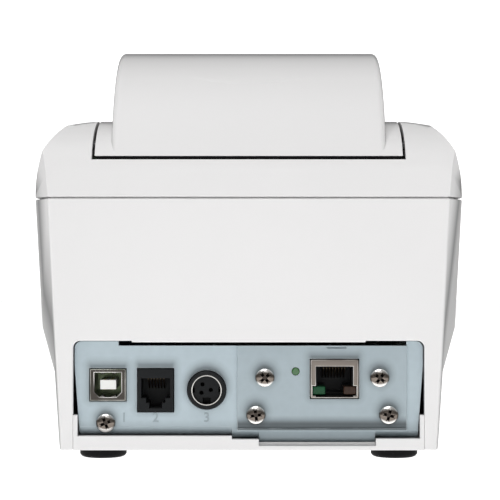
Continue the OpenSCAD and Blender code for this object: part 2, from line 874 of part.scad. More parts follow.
module usb_mouth() {
    w = 4.5;
    h = 4.1;
    translate([usb_x, usb_z]) polygon([
        [-w, h], [w, h], [w, -h + 1.7], [w - 1.7, -h], [-w + 1.7, -h], [-w, -h + 1.7]
    ]);
}

module usb_tongue() {
    color("white") block([usb_x - 2.7, panel_y - 14, usb_z - 1.6], [usb_x + 2.7, panel_y - 1, usb_z + 1.6]);
}

module drawer_socket() {
    mouth = panel_y - 10;
    x = drawer_x;
    color("dimgray") difference() {
        union() {
            block([x - drawer_w / 2, panel_y - 15.5, drawer_z - drawer_h / 2],
                [x + drawer_w / 2, panel_y + 0.6, drawer_z + drawer_h / 2]);
            block([x - drawer_w / 2, panel_y - 15.5, drawer_z],
                [x + drawer_w / 2, board_rear, board_z]);
        }
        block([x - 4.8, mouth, drawer_z - 2.6], [x + 4.8, rear, drawer_z + 4]);
        block([x - 3.2, mouth, drawer_z - 4.2], [x + 3.2, rear, drawer_z - 2.5]);
        block([x - 2.1, mouth, drawer_z - 6], [x + 2.1, rear, drawer_z - 4.1]);
    }
}

module power_socket() {
    color("dimgray") difference() {
        union() {
            bar_y(power_r, panel_y - 4, panel_y + 2, power_x, power_z);
            block([power_x - 6.3, panel_y - 15.5, power_z - 6], [power_x + 6.3, panel_y - 4, board_z]);
        }
        bar_y(5.15, panel_y - 8, panel_y + 3, power_x, power_z);
    }
}

module power_ring() {
    color("silver") difference() {
        bar_y(5.15, panel_y - 8, panel_y + 1.6, power_x, power_z);
        bar_y(4.7, panel_y - 9, panel_y + 3, power_x, power_z);
    }
}

module power_insert() {
    color("dimgray") difference() {
        bar_y(4.7, panel_y - 8, panel_y - 0.2, power_x, power_z);
        for (hole = [[1.4, 1.9], [-1.4, 0], [1.75, -0.95]])
            bar_y(0.7, panel_y - 7, panel_y + 1, power_x + hole[0], power_z + hole[1]);
        block([power_x - 1.3, panel_y - 6, power_z - 5], [power_x + 1.3, panel_y, power_z - 2.6]);
        both_of(power_x) block([4, panel_y - 6, power_z - 0.9], [5, panel_y, power_z + 0.9]);
    }
}

// Both sides of an upright plane at x
module both_of(x) {
    translate([x, 0, 0]) children();
    translate([x, 0, 0]) mirror([1, 0, 0]) children();
}

module network_shell() {
    color("darkgray") difference() {
        block([lan_x - lan_w / 2, card_y - 16, lan_z - lan_h / 2],
            [lan_x + lan_w / 2, card_y + 0.3, lan_z + lan_h / 2]);
        block([lan_x - 6.2, card_y - 14, lan_z - 5.9], [lan_x + 6.2, card_y + 1, lan_z + 4.1]);
        block([lan_x - 7.3, card_y - 14, lan_z - 5.6], [lan_x + 7.3, card_y + 1, lan_z - 2.4]);
    }
}

module network_insert() {
    color("dimgray") difference() {
        union() {
            block([lan_x - 6.2, card_y - 14, lan_z - 2.4], [lan_x + 6.2, card_y - 0.2, lan_z + 4.1]);
            block([lan_x - 7.3, card_y - 14, lan_z - 5.6], [lan_x + 7.3, card_y - 8, lan_z - 2.4]);
            block([lan_x - 6.2, card_y - 14, lan_z - 5.9], [lan_x + 6.2, card_y - 8, lan_z - 5.6]);
        }
        block([lan_x - 5.85, card_y - 12, lan_z - 2.5], [lan_x + 5.85, card_y + 1, lan_z + 3.9]);
        block([lan_x - 3, card_y - 12, lan_z - 5], [lan_x + 3, card_y + 1, lan_z - 2.4]);
    }
}

module network_lamps() {
    color("green") both_of(lan_x) block([3.1, card_y - 8, lan_z - 5.2], [7.2, card_y - 0.1, lan_z - 2.6]);
}

module network_contacts() {
    color("gold") for (i = [0 : 7]) translate([lan_x + (i - 3.5) * 1.02, 0, 0])
        along_x(-0.2, 0.2) polygon([
            [card_y - 12, lan_z + 3.4], [card_y - 3, lan_z + 3.4], [card_y - 3, lan_z + 3.9],
            [card_y - 2.5, lan_z + 3.9], [card_y - 2.5, lan_z + 3.1], [card_y - 11, lan_z - 0.5],
                [card_y - 12, lan_z - 0.5]
        ]);
}

module status_lamp() {
    color("green") union() {
        bar_y(lamp_r, panel_y - 4, card_y + 0.3, lamp_x, lamp_z);
        block([lamp_x - 2, panel_y - 8, lamp_z - 2], [lamp_x + 2, panel_y - 4, lamp_z + 2]);
        for (s = [-1, 1]) block([lamp_x + s - 0.25, panel_y - 6.5, card_board_z + board_t],
            [lamp_x + s + 0.25, panel_y - 6, lamp_z - 1.9]);
    }
}

// Electronics

module main_board() {
    bay = board_rear - card_depth;
    color("darkgreen") difference() {
        block([-half_board, board_front, board_z], [half_board, board_rear, board_z + board_t]);
        block([-half_board - 1, bay, board_z - 1], [card_x + card_w / 2 + 1, rear, board_z + 5]);
        both() for (y = leg_ys) bar_z(leg_r + 1, board_z - 1, board_z + 5, leg_x, y);
        both() block([leg_x, leg_ys[1] - leg_r - 1, board_z - 1],
            [half_board + 1, leg_ys[1] + leg_r + 1, board_z + 5]);
        both() block([leg_x, leg_ys[0] - leg_r - 1, board_z - 1],
            [half_board + 1, leg_ys[0] + leg_r + 1, board_z + 5]);
        both() for (y = board_post_ys) bar_z(1.6, board_z - 1, board_z + 5, board_post_x, y);
    }
}

module interface_card() {
    color("darkgreen") block([card_x - 25, board_rear - card_depth - 6, card_board_z],
        [card_x + 17, panel_y - sheet_t - 0.2, card_board_z + board_t]);
}

module card_header() {
    y = board_rear - card_depth - 3;
    color("dimgray") block([card_x - 18, y - 2.5, card_board_z + board_t], [card_x + 12, y + 2.5, board_z]);
}

module board_chips() {
    color("dimgray") {
        block([12, 40, board_z + board_t], [30, 58, board_z + board_t + 1.6]);
        block([-36, 8, board_z + board_t], [-24, 22, board_z + board_t + 1.4]);
        block([14, 6, board_z + board_t], [26, 14, board_z + board_t + 1.4]);
        block([card_x - 12, board_rear - 34, card_board_z + board_t],
            [card_x, board_rear - 22, card_board_z + board_t + 1.4]);
    }
}

module board_capacitors() {
    color("steelblue") for (p = [[47.5, 30], [47.5, 42], [38, 66]]) translate([p[0], p[1], board_z + board_t])
        cylinder(r = 4, h = 7);
}

module board_connector() {
    color("ivory") difference() {
        block([-17, board_front + 1, board_z + board_t], [27, board_front + 6, board_z + board_t + 4]);
        block([-15.2, board_front + 2.6, board_z + board_t + 1],
            [25.2, board_front + 3.4, board_z + board_t + 5]);
    }
}

module head_cable() {
    x = -15;
    y = latch_y + 5;
    end_y = board_front + 3;
    end_z = board_z + board_t + 1.2;
    top = head_pivot_z - tail_t / 2 - 0.4;
    color("orange") along_x(x, 25) polygon([
        [y, top], [y, 50], [end_y - 0.2, 42], [end_y - 0.2, end_z],
        [end_y + 0.2, end_z], [end_y + 0.2, 42.4], [y + 0.4, 50.3], [y + 0.4, top]
    ]);
}

// Roll hopper

module hopper_side(r) {
    translate([hump_y, hump_z]) circle(r = r, $fn = 160);
}

module paper_hopper() {
    outer_r = bucket_r + hopper_t;
    color("gainsboro") difference() {
        union() {
            intersection() {
                along_x(-half_bucket, half_bucket) hopper_side(outer_r);
                block([-half_bucket, front, 0], [half_bucket, rear, rim_z]);
            }
            // Rim that the legs hang from
            both() block([half_bucket - 0.5, leg_ys[0] - 5, rim_z - hopper_t],
                [leg_x + leg_r, leg_ys[1] + 5, rim_z]);
            both() for (y = leg_ys) bar_z(leg_r, foot_h + floor_t, rim_z - 1, leg_x, y);
        }
        along_x(-bucket_w / 2, bucket_w / 2) hopper_side(bucket_r);
        // The roll sensor looks through this window
        block([-half_bucket - 1, hump_y + 24, 66], [-bucket_w / 2 + 1, hump_y + 30, 72]);
    }
}

module roll_sensor() {
    color("dimgray") union() {
        block([-half_bucket - 6, hump_y + 22, 64], [-half_bucket, hump_y + 32, 74]);
        block([-half_bucket, hump_y + 24.2, 66.2], [-bucket_w / 2 - 0.4, hump_y + 29.8, 71.8]);
    }
}

module paper_guide() {
    y0 = hump_y - bucket_r - hopper_t;
    color("gainsboro") along_x(-plate_x, plate_x) polygon([
        [y0, rim_z - 2], [y0, rim_z], [platen_y + 6, platen_z - platen_r - 1.2],
        [platen_y - 4, platen_z - platen_r - 1.2], [platen_y - 4, platen_z - platen_r - 2.7],
        [platen_y + 6, platen_z - platen_r - 2.7]
    ]);
}

module paper_sensor() {
    z = platen_z - platen_r - 2.7;
    color("dimgray") block([-4, platen_y - 3, z - 4], [4, platen_y + 3, z]);
}

// Print mechanism

module mech_frame() {
    color("silver") difference() {
        union() {
            both() along_x(plate_x, plate_x + plate_t) polygon([
                [mech_front, plate_low], [mech_back, plate_low], [mech_back, plate_top],
                    [brow_y - 4, plate_top],
                [brow_y - 10, under_brow(brow_y - 10)], [mech_front, under_brow(mech_front)]
            ]);
            block([-plate_x - 0.5, mech_front, plate_low], [plate_x + 0.5, mech_back, plate_low + plate_t]);
            block([-plate_x - 0.5, spring_y - 8, shelf_z - plate_t],
                [plate_x + 0.5, spring_y + 5, shelf_z]);
            block([-plate_x - 0.5, mech_front, plate_low],
                [plate_x + 0.5, mech_front + plate_t, plate_low + 22]);
            bar_x(stud_r, big_gear_x0 - 1.5, -plate_x, idler_y, idler_z);
        }
        // Seats of the platen bushes, open at the top
        both() bar_x(bush_r + 0.3, plate_x - 1, plate_x + plate_t + 1, platen_y, platen_z);
        both() block([plate_x - 1, platen_y - bush_r - 0.3, platen_z],
            [plate_x + plate_t + 1, platen_y + bush_r + 0.9, plate_top + 1]);
        // Head pivots, latch shaft and motor shaft
        both() bar_x(stud_r + run_fit, plate_x - 1, plate_x + plate_t + 1, head_pivot_y, head_pivot_z);
        both() bar_x(latch_r + run_fit, plate_x - 1, plate_x + plate_t + 1, latch_y, latch_z);
        bar_x(5, -plate_x - plate_t - 1, -plate_x + 1, motor_y, motor_z);
        // Slot for the head cable
        block([-17, latch_y + 3, plate_low - 1], [27, latch_y + 8, plate_low + plate_t + 1]);
    }
}

module feed_motor() {
    color("gray") difference() {
        union() {
            bar_x(motor_d / 2, -plate_x, -plate_x + motor_l, motor_y, motor_z);
            bar_x(4.9, -plate_x - 1, -plate_x + 1, motor_y, motor_z);
        }
        bar_x(motor_shaft_r + run_fit, -plate_x - 2, -plate_x + 12, motor_y, motor_z);
    }
}

module motor_pinion() {
    gear_turn = atan2(motor_z - idler_z, motor_y - idler_y);
    color("gold") union() {
        bar_x(motor_shaft_r, big_gear_x0 - 1, -plate_x + 8, motor_y, motor_z);
        gear(pinion_teeth, motor_module, big_gear_x0, big_gear_x0 + gear_w, motor_y, motor_z,
            gear_turn + 180 + 180 / pinion_teeth);
    }
}

module idler_gear() {
    to_platen = atan2(platen_z - idler_z, platen_y - idler_y);
    to_motor = atan2(motor_z - idler_z, motor_y - idler_y);
    color("ivory") difference() {
        union() {
            gear(idler_big_teeth, motor_module, big_gear_x0, big_gear_x0 + gear_w, idler_y, idler_z,
                to_motor);
            bar_x(feed_module * (idler_teeth / 2 - root_fall) - 0.08, big_gear_x0 + gear_w - 0.1,
                gear_x0 + 0.1, idler_y, idler_z);
            gear(idler_teeth, feed_module, gear_x0, gear_x0 + gear_w, idler_y, idler_z,
                to_platen + 180 / idler_teeth);
        }
        bar_x(stud_r + run_fit, big_gear_x0 - 1, gear_x0 + gear_w + 1, idler_y, idler_z);
    }
}

module platen_gear() {
    to_idler = atan2(idler_z - platen_z, idler_y - platen_y);
    color("ivory") difference() {
        gear(platen_teeth, feed_module, gear_x0, gear_x0 + gear_w, platen_y, platen_z, to_idler);
        bar_x(shaft_d / 2, gear_x0 - 1, gear_x0 + gear_w + 1, platen_y, platen_z);
    }
}

module platen_shaft() {
    color("silver") bar_x(shaft_d / 2, gear_x0 - 0.3, 49, platen_y, platen_z);
}

module platen_rubber() {
    color("dimgray") difference() {
        bar_x(platen_r, -half_platen, half_platen, platen_y, platen_z);
        bar_x(shaft_d / 2, -half_platen - 1, half_platen + 1, platen_y, platen_z);
    }
}

module platen_bushes() {
    color("ivory") both() difference() {
        bar_x(bush_r, arm_x + arm_t, plate_x + plate_t, platen_y, platen_z);
        bar_x(shaft_d / 2 + run_fit, arm_x, plate_x + plate_t + 1, platen_y, platen_z);
    }
}

// Height of the cover's roof, measured on its inside
function roof_z(y) = hump_z + (hump_r - wall) / cos(roof_slope) - (hump_y - y) * tan(roof_slope);

module cover_frame() {
    top = shoulder_z + 3;
    deck = cut_z - blade_lift;
    y0 = platen_y + 8;
    y1 = platen_y + 15;
    color("gainsboro") difference() {
        union() {
            both() block([arm_x, cover_y + wall, platen_z - 4], [arm_x + arm_t, platen_y + 16, top]);
            both() bar_x(bush_r + 1, arm_x, arm_x + arm_t, platen_y, platen_z);
            block([-arm_x - arm_t, platen_y - 2, deck - 2], [arm_x + arm_t, platen_y + 16, deck]);
            // Ribs up to the roof and out to the side walls
            for (x = [-30, 0, 30]) along_x(x - 1, x + 1) polygon([
                [y0, deck - 1], [y1, deck - 1], [y1, roof_z(y1) - 0.02], [y0, roof_z(y0) - 0.02]
            ]);
            both() block([arm_x, y0, top - 1], [half_hump - wall, y1, top + 6]);
        }
        both() bar_x(shaft_d / 2 + 0.4, arm_x - 1, arm_x + arm_t + 1, platen_y, platen_z);
    }
}

module fixed_blade() {
    color("silver") block([-half_platen + 0.5, cover_y + 0.3, cut_z - blade_lift],
        [half_platen - 0.5, platen_y + 4, cut_z - 0.1]);
}

module print_head() {
    half = half_platen - 0.5;
    color("silver") union() {
        block([-half, head_y - strip_t - sink_t, head_low - 1.5],
            [half, head_y - strip_t, head_low + head_h]);
        block([-half, head_pivot_y - tail_l, head_pivot_z - tail_t / 2],
            [half, head_pivot_y, head_pivot_z + tail_t / 2]);
        bar_x(2.5, -half, half, head_pivot_y, head_pivot_z);
        both() bar_x(stud_r, half - 1, plate_x + plate_t, head_pivot_y, head_pivot_z);
    }
}

module head_strip() {
    half = half_platen - 0.5;
    color("dimgray") block([-half, head_y - strip_t, head_low + 2], [half, head_y, head_low + head_h - 2]);
}

module head_springs() {
    low = shelf_z;
    high = head_pivot_z - tail_t / 2;
    turns = 5;
    color("silver") both() translate([spring_x, spring_y, low]) {
        for (i = [0 : turns]) translate([0, 0, 0.4 + i * (high - low - 0.8) / turns])
            rotate_extrude() translate([2.6, 0]) circle(r = 0.4, $fn = 16);
        difference() {
            cylinder(r = 2.75, h = high - low);
            translate([0, 0, -1]) cylinder(r = 2.45, h = high - low + 2);
        }
    }
}

module latch_hooks() {
    nose_y = platen_y - shaft_d / 2 - 0.4;
    nose_z = platen_z + shaft_d / 2 - 0.5;
    color("silver") union() {
        bar_x(latch_r, -control_x - 3, 49, latch_y, latch_z);
        for (x = [-48.6, 47.2]) along_x(x, x + 1.4) polygon([
            [latch_y - 3, latch_z - 3], [latch_y + 3, latch_z - 3], [latch_y + 4, latch_z + 6],
            [nose_y - 3.2, platen_z - 4], [nose_y - 2.2, platen_z + 0.5], [nose_y, nose_z],
            [nose_y - 1.5, nose_z + 1.2], [nose_y - 5.5, nose_z - 1], [latch_y - 3, latch_z + 6]
        ]);
        // Arm under the release button
        along_x(-control_x - 3, -control_x + 3) polygon([
            [latch_y + 3, latch_z - 3], [latch_y + 3, latch_z + 3],
                [latch_y - latch_arm - 3, latch_z + 1.5],
            [latch_y - latch_arm - 3, latch_z - 1.5]
        ]);
    }
}

// Cutter

module moving_blade() {
    pitch = PI * cutter_module;
    tip_z = cut_z - rack_h;
    root_z = tip_z + (tip_rise + root_fall) * cutter_module;
    steps = ceil(blade_stroke / pitch);
    teeth = steps + 4;
    // A gap of the rack stands over the pinion's upright tooth
    y0 = cutter_y - (steps + 1.5) * pitch;
    color("silver") union() {
        block([-half_blade, blade_y - blade_l, cut_z], [half_blade, blade_y, cut_z + blade_t]);
        both() along_x(rack_x - rack_w / 2, rack_x + rack_w / 2) union() {
            square_from(y0 - pitch / 2, y0 + (teeth - 0.5) * pitch, root_z, cut_z);
            for (i = [0 : teeth - 1]) translate([y0 + i * pitch, 0]) polygon([
                [-1.08 * cutter_module, root_z + 0.05], [1.08 * cutter_module, root_z + 0.05],
                [0.3 * cutter_module, tip_z], [-0.3 * cutter_module, tip_z]
            ]);
        }
    }
}

module cutter_shaft() {
    color("silver") union() {
        bar_x(2, -cheek_x - cheek_t, cheek_x + cheek_t, cutter_y, cutter_z);
        both() gear(rack_pinion_teeth, cutter_module, rack_x - 1.2, rack_x + 1.2, cutter_y, cutter_z, 90);
        gear(cutter_gear_teeth, cutter_small_module, cutter_gear_x, cutter_gear_x + 2.5, cutter_y, cutter_z,
            180 + cutter_motor_turn);
    }
}

module cutter_pinion() {
    color("gold") union() {
        bar_x(motor_shaft_r, cutter_gear_x - 0.5, -20, cutter_motor_y, cutter_motor_z);
        gear(cutter_motor_teeth, cutter_small_module, cutter_gear_x, cutter_gear_x + 2.5,
            cutter_motor_y, cutter_motor_z, cutter_motor_turn + 180 / cutter_motor_teeth);
    }
}

module cutter_motor() {
    color("gray") difference() {
        bar_x(cutter_motor_d / 2, -27, 3, cutter_motor_y, cutter_motor_z);
        bar_x(motor_shaft_r + run_fit, -28, -18, cutter_motor_y, cutter_motor_z);
    }
}

module cutter_frame() {
    top_back = blade_y - blade_l - motor_room;
    back = top_back - 7.5;
    end = slot_y - wall;
    foot_z = under_brow(back) - 3.5;
    color("gray") difference() {
        union() {
            both() along_x(cheek_x, cheek_x + cheek_t) polygon([
                [back, foot_z], [end, foot_z], [end, guide_z + guide_t],
                [top_back, guide_z + guide_t], [back, cutter_z - 4]
            ]);
            block([-cheek_x - cheek_t, top_back, guide_z],
                [cheek_x + cheek_t, end, guide_z + guide_t]);
            // Feet on the mechanism's plates
            both() block([cheek_x + cheek_t - 0.1, back, foot_z], [plate_x, slot_y - 6, foot_z + 2]);
            // Motor bracket
            along_x(-29, -27) polygon([
                [top_back, guide_z + 0.5], [back, cutter_motor_z], [back, cutter_motor_z - 6],
                [cutter_motor_y + 5, cutter_motor_z - 6], [cutter_motor_y + 5, cutter_motor_z + 4],
                [blade_y - blade_l - 1.5, cutter_motor_z + 6], [blade_y - blade_l - 1.5, guide_z + 0.5]
            ]);
        }
        both() bar_x(2 + run_fit, cheek_x - 1, cheek_x + cheek_t + 1, cutter_y, cutter_z);
        bar_x(motor_shaft_r + 0.5, -30, -26, cutter_motor_y, cutter_motor_z);
    }
}

module tear_bar() {
    color("silver") block([-half_platen, slot_y - 3.5, mouth_z + 0.5],
        [half_platen, slot_y - wall, mouth_z + 2.5]);
}

// Controls

module switch_housing() {
    color("dimgray") difference() {
        union() {
            front_box(rocker_w / 2 + bezel_w, rocker_h / 2 + bezel_w, bezel_sink, bezel_sink + bezel_t);
            front_box(rocker_w / 2, rocker_h / 2, bezel_sink, switch_d);
        }
        front_box(rocker_w / 2 - switch_wall, rocker_h / 2 - switch_wall, -1, switch_d - switch_wall);
    }
}

module power_rocker() {
    half = rocker_w / 2 - switch_wall - 0.6;
    high = rocker_h / 2 - switch_wall - 0.4;
    color("dimgray") translate([rocker_x, front + rocker_axis_d, rocker_z]) rotate([0, 0, rocker_tilt])
        union() {
        translate([0, 0, -high]) linear_extrude(2 * high) polygon([
            [-half, -2], [0, -3.2], [half, -2], [half - 0.8, 1], [2, 3], [-2, 3], [-half + 0.8, 1]
        ]);
        bar_z(1.2, -high - 0.35, high + 0.35, 0, 0);
    }
}

module panel_board() {
    color("darkgreen") block([control_x - 6.5, panel_boss_ys[0] - 3, panel_board_z],
        [control_x + 6.5, panel_boss_ys[1] + 3, panel_board_z + board_t]);
}

module feed_switch() {
    top = panel_board_z + board_t;
    color("dimgray") union() {
        block([control_x - 3, feed_y - 3, top], [control_x + 3, feed_y + 3, top + 3.5]);
        bar_z(1.7, top + 3.4, top + 4.3, control_x, feed_y);
    }
}

module lamp_windows() {
    color("palegreen") for (y = lamp_ys)
        bar_z(lamp_window_r, panel_board_z + board_t + 1, brow_z(control_x, y) + 0.2, control_x, y);
}

module feed_button() {
    low = panel_board_z + board_t + 4.3 + 0.1 + feed_travel;
    color("silver") union() {
        bar_z(feed_button_d / 2, low + 1.2, brow_z(control_x, feed_y) + 1.8, control_x, feed_y);
        bar_z(2.5, low, low + 1.5, control_x, feed_y);
    }
}

module open_button() {
    top = brow_z(control_x, open_y);
    open_fall = brow_drop / (brow_d - nose_fall) * open_button_l / 2;
    color("silver") translate([-control_x, open_y, 0]) union() {
        along_x(-open_button_w / 2, open_button_w / 2) polygon([
            [-open_button_l / 2, top - cap_t], [open_button_l / 2, top - cap_t],
            [open_button_l / 2, top + button_up + open_fall],
                [-open_button_l / 2, top + button_up - open_fall]
        ]);
        block([-stem_half, -stem_half, latch_z + 2.6], [stem_half, stem_half, top - cap_t + 0.5]);
    }
}

base_tray();
feet();
lower_case();
upper_case();
front_cover();
case_screws();
rear_plate();
card_plate();
panel_screws();
usb_shell();
usb_tongue();
drawer_socket();
power_socket();
power_ring();
power_insert();
network_shell();
network_insert();
network_lamps();
network_contacts();
status_lamp();
main_board();
interface_card();
card_header();
board_chips();
board_capacitors();
board_connector();
paper_hopper();
paper_guide();
paper_sensor();
roll_sensor();
mech_frame();
feed_motor();
head_springs();
head_cable();
cutter_frame();
cutter_motor();
tear_bar();
switch_housing();
panel_board();
feed_switch();
lamp_windows();
hinge_pins();
paper_cover();
cover_frame();
platen_bushes();
fixed_blade();
platen_shaft();
platen_rubber();
platen_gear();
idler_gear();
motor_pinion();
print_head();
head_strip();
moving_blade();
cutter_shaft();
cutter_pinion();
latch_hooks();
feed_button();
open_button();
power_rocker();
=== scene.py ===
"""Finishes, lighting and fine pieces for the desktop thermal printer."""
import json
import math

import bmesh
import bpy
from bpy.props import FloatProperty, FloatVectorProperty, IntProperty, PointerProperty
from mathutils import Matrix, Vector
from mathutils.bvhtree import BVHTree


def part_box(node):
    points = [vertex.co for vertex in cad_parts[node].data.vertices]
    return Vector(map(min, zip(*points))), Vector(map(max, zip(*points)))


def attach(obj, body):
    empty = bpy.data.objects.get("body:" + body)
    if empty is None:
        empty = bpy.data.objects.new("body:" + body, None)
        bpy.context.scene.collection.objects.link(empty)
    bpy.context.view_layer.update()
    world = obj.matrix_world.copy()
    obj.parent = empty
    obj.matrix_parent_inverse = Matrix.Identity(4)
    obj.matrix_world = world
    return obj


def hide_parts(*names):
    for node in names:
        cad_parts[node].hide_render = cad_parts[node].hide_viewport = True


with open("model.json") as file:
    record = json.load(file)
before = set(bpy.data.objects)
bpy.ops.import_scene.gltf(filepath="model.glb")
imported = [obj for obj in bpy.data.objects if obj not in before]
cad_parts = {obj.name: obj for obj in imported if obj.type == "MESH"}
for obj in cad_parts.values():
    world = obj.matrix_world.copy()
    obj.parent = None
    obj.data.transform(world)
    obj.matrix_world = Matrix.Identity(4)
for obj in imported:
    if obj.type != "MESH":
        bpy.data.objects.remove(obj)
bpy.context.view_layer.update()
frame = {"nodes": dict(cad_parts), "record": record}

bl_info = {
    "name": "Desktop printer finishes",
    "version": (1, 0, 0),
    "blender": (4, 5, 0),
    "location": "View3D > Sidebar > Printer",
    "description": "Dresses the printer's frame with moulded, plated and painted pieces",
    "category": "Object",
}

MM = 0.001
WELD = 1e-6           # corners of the frame's meshes closer than this are one corner
FLAT = 0.4            # degrees within which neighbouring triangles are one flat face
STRAY = 0.45          # share of a rounding's width that its points may stand off the plain surface
LINE_STEEP = 5.7      # rise of the cover's finger line per square metre off the middle
LINE_HEIGHT = 0.1285  # height of the finger line in the middle
LIP_DEPTH = 0.61 * MM  # the upper case's lip lies this far under the lid's rear edge
SHADE_REACH = 3.4 * MM  # width of the shade round a fitting of the panel
NODES = frame["nodes"]
BODIES = {node: body for body, nodes in frame["record"]["behaviour"]["bodies"].items() for node in nodes}


# The panel's screws: place across and up in mm, turn of the cross, and whether they hold the card's plate
PANEL_SCREWS = [(47.9, 12.9, 22.0, False), (-5.4, 28.1, 40.0, True), (-2.4, 15.6, 8.0, True),
                (-43.8, 28.0, 52.0, True), (-46.8, 15.6, 76.0, True)]


# Sizes and colours

def colour(name, description, value):
    return FloatVectorProperty(
        name=name, description=description, default=value, size=3, min=0.0, max=1.0, subtype="COLOR")


def length(name, description, value):
    return FloatProperty(
        name=name, description=description, default=value, min=0.0, unit="LENGTH", subtype="DISTANCE")


class CaseLook(bpy.types.PropertyGroup):
    shell: colour("Shell colour", "Colour of the moulded case", (0.777, 0.770, 0.769))
    inside: colour("Inside colour", "Colour of the hopper and the cover's frame", (0.42, 0.43, 0.44))
    rounding: length("Edge rounding", "Rounding along the case's outer edges", 0.5 * MM)
    grain: length("Grain", "Size of the spark-eroded grain", 0.35 * MM)
    rubber: colour("Rubber colour", "Colour of the feet and the platen", (0.005, 0.005, 0.0055))


class PanelLook(bpy.types.PropertyGroup):
    plate: colour("Plate colour", "Colour of the plated sheet", (0.39, 0.46, 0.495))
    edge: length("Edge rounding", "Rounding of the sheet's punched edges", 0.15 * MM)
    screw_width: length("Screw head", "Width of a panel screw's head", 6.5 * MM)
    socket: colour("Socket colour", "Colour of the black sockets", (0.007, 0.008, 0.009))
    lamp: colour("Lamp colour", "Colour of the green lamps", (0.018, 0.095, 0.018))
    contacts: IntProperty(
        name="Contacts", description="Number of contacts in the network socket", default=8, min=2)


class WorksLook(bpy.types.PropertyGroup):
    steel: colour("Steel colour", "Colour of the mechanism's plates", (0.56, 0.57, 0.58))
    gear: colour("Gear colour", "Colour of the moulded gears", (0.78, 0.74, 0.62))
    board: colour("Board colour", "Colour of the circuit boards", (0.02, 0.13, 0.055))
    key: colour("Key colour", "Colour of the feed and release keys", (0.30, 0.31, 0.33))
    tooth_pitch: length("Tooth pitch", "Distance between the tear bar's teeth", 1.25 * MM)


class StageLook(bpy.types.PropertyGroup):
    floor: colour("Floor colour", "Colour of the floor and the backdrop", (0.42, 0.42, 0.42))
    glow: FloatProperty(
        name="Floor glow", description="Light that the floor gives off", default=0.76, min=0.0)
    sky: FloatProperty(
        name="Room light", description="Strength of the room's even light", default=0.38, min=0.0)
    lens: FloatProperty(
        name="Lens", description="Focal length of the camera", default=118.8, min=1.0, unit="CAMERA")


def look(kind):
    return getattr(bpy.context.scene, "printer_" + kind)


# Shader groups

DUST = (0.62, 0.60, 0.57, 1.0)


def new_group(name, inputs, outputs):
    tree = bpy.data.node_groups.new(name, "ShaderNodeTree")
    for label, kind, value in inputs:
        socket = tree.interface.new_socket(name=label, in_out="INPUT", socket_type=kind)
        if value is not None:
            socket.default_value = value
    for label, kind in outputs:
        tree.interface.new_socket(name=label, in_out="OUTPUT", socket_type=kind)
    return tree, tree.nodes.new("NodeGroupInput"), tree.nodes.new("NodeGroupOutput")


def add(tree, kind, links=None, **settings):
    """A node with its settings, and its inputs linked or set by name or number."""
    node = tree.nodes.new(kind)
    for key, value in settings.items():
        setattr(node, key, value)
    for key, value in (links or {}).items():
        socket = node.inputs[key]
        if isinstance(value, bpy.types.NodeSocket):
            tree.links.new(value, socket)
        else:
            socket.default_value = value
    return node


def math_node(tree, operation, a, b=0.0, c=0.0, clamp=False):
    return add(tree, "ShaderNodeMath", {0: a, 1: b, 2: c}, operation=operation, use_clamp=clamp).outputs[0]


def product(tree, a, b, clamp=False):
    return math_node(tree, "MULTIPLY", a, b, clamp=clamp)


def vector_node(tree, operation, a, b=(0.0, 0.0, 0.0), result="Vector"):
    return add(tree, "ShaderNodeVectorMath", {0: a, 1: b}, operation=operation).outputs[result]


def scaled(tree, colour, factor):
    return add(tree, "ShaderNodeVectorMath", {0: colour, "Scale": factor}, operation="SCALE").outputs[0]


def noise(tree, vector, scale, detail):
    return add(tree, "ShaderNodeTexNoise", {"Vector": vector, "Scale": scale, "Detail": detail}).outputs[0]


def axes(tree, vector):
    """The three parts of a vector."""
    return add(tree, "ShaderNodeSeparateXYZ", {0: vector}).outputs


def attribute(tree, name):
    return add(tree, "ShaderNodeAttribute", attribute_name=name).outputs["Fac"]


def mix_colour(tree, factor, a, b, blend="MIX"):
    node = tree.nodes.new("ShaderNodeMix")
    node.data_type = "RGBA"
    node.blend_type = blend
    for socket, value in ((node.inputs[0], factor), (node.inputs[6], a), (node.inputs[7], b)):
        if isinstance(value, bpy.types.NodeSocket):
            tree.links.new(value, socket)
        else:
            socket.default_value = value
    return node.outputs[2]


def steps(tree, value, stops):
    """A ramp from value through (place, grey) stops."""
    node = add(tree, "ShaderNodeValToRGB", {0: value})
    ramp = node.color_ramp
    while len(ramp.elements) < len(stops):
        ramp.elements.new(0.5)
    for element, (place, grey) in zip(ramp.elements, stops):
        element.position = place
        element.color = (grey, grey, grey, 1.0)
    return node.outputs[0]


def build_mould_grain():
    """Spark-eroded grain: fine pits, a slow change of tone and of gloss."""
    tree, given, out = new_group(
        "mould_grain",
        [("Vector", "NodeSocketVector", None), ("Grain Size", "NodeSocketFloat", 0.35),
         ("Cloud", "NodeSocketFloat", 0.04)],
        [("Height", "NodeSocketFloat"), ("Tone", "NodeSocketFloat"), ("Gloss", "NodeSocketFloat")])
    scale = math_node(tree, "DIVIDE", 1000.0, given.outputs["Grain Size"])
    pits = add(tree, "ShaderNodeTexVoronoi", {"Vector": given.outputs["Vector"], "Scale": scale},
               feature="SMOOTH_F1")
    fine = noise(tree, given.outputs["Vector"], product(tree, scale, 1.7), 2.0)
    height = math_node(tree, "ADD", product(tree, pits.outputs["Distance"], 0.7), product(tree, fine, 0.5))
    centred = math_node(tree, "SUBTRACT", noise(tree, given.outputs["Vector"], 22.0, 3.0), 0.5)
    speck = product(tree, math_node(tree, "SUBTRACT", pits.outputs["Distance"], 0.4), 0.02)
    tone = math_node(tree, "ADD", 1.0, product(tree, centred, given.outputs["Cloud"]))
    tree.links.new(height, out.inputs["Height"])
    tree.links.new(math_node(tree, "ADD", tone, speck), out.inputs["Tone"])
    tree.links.new(centred, out.inputs["Gloss"])
    return tree


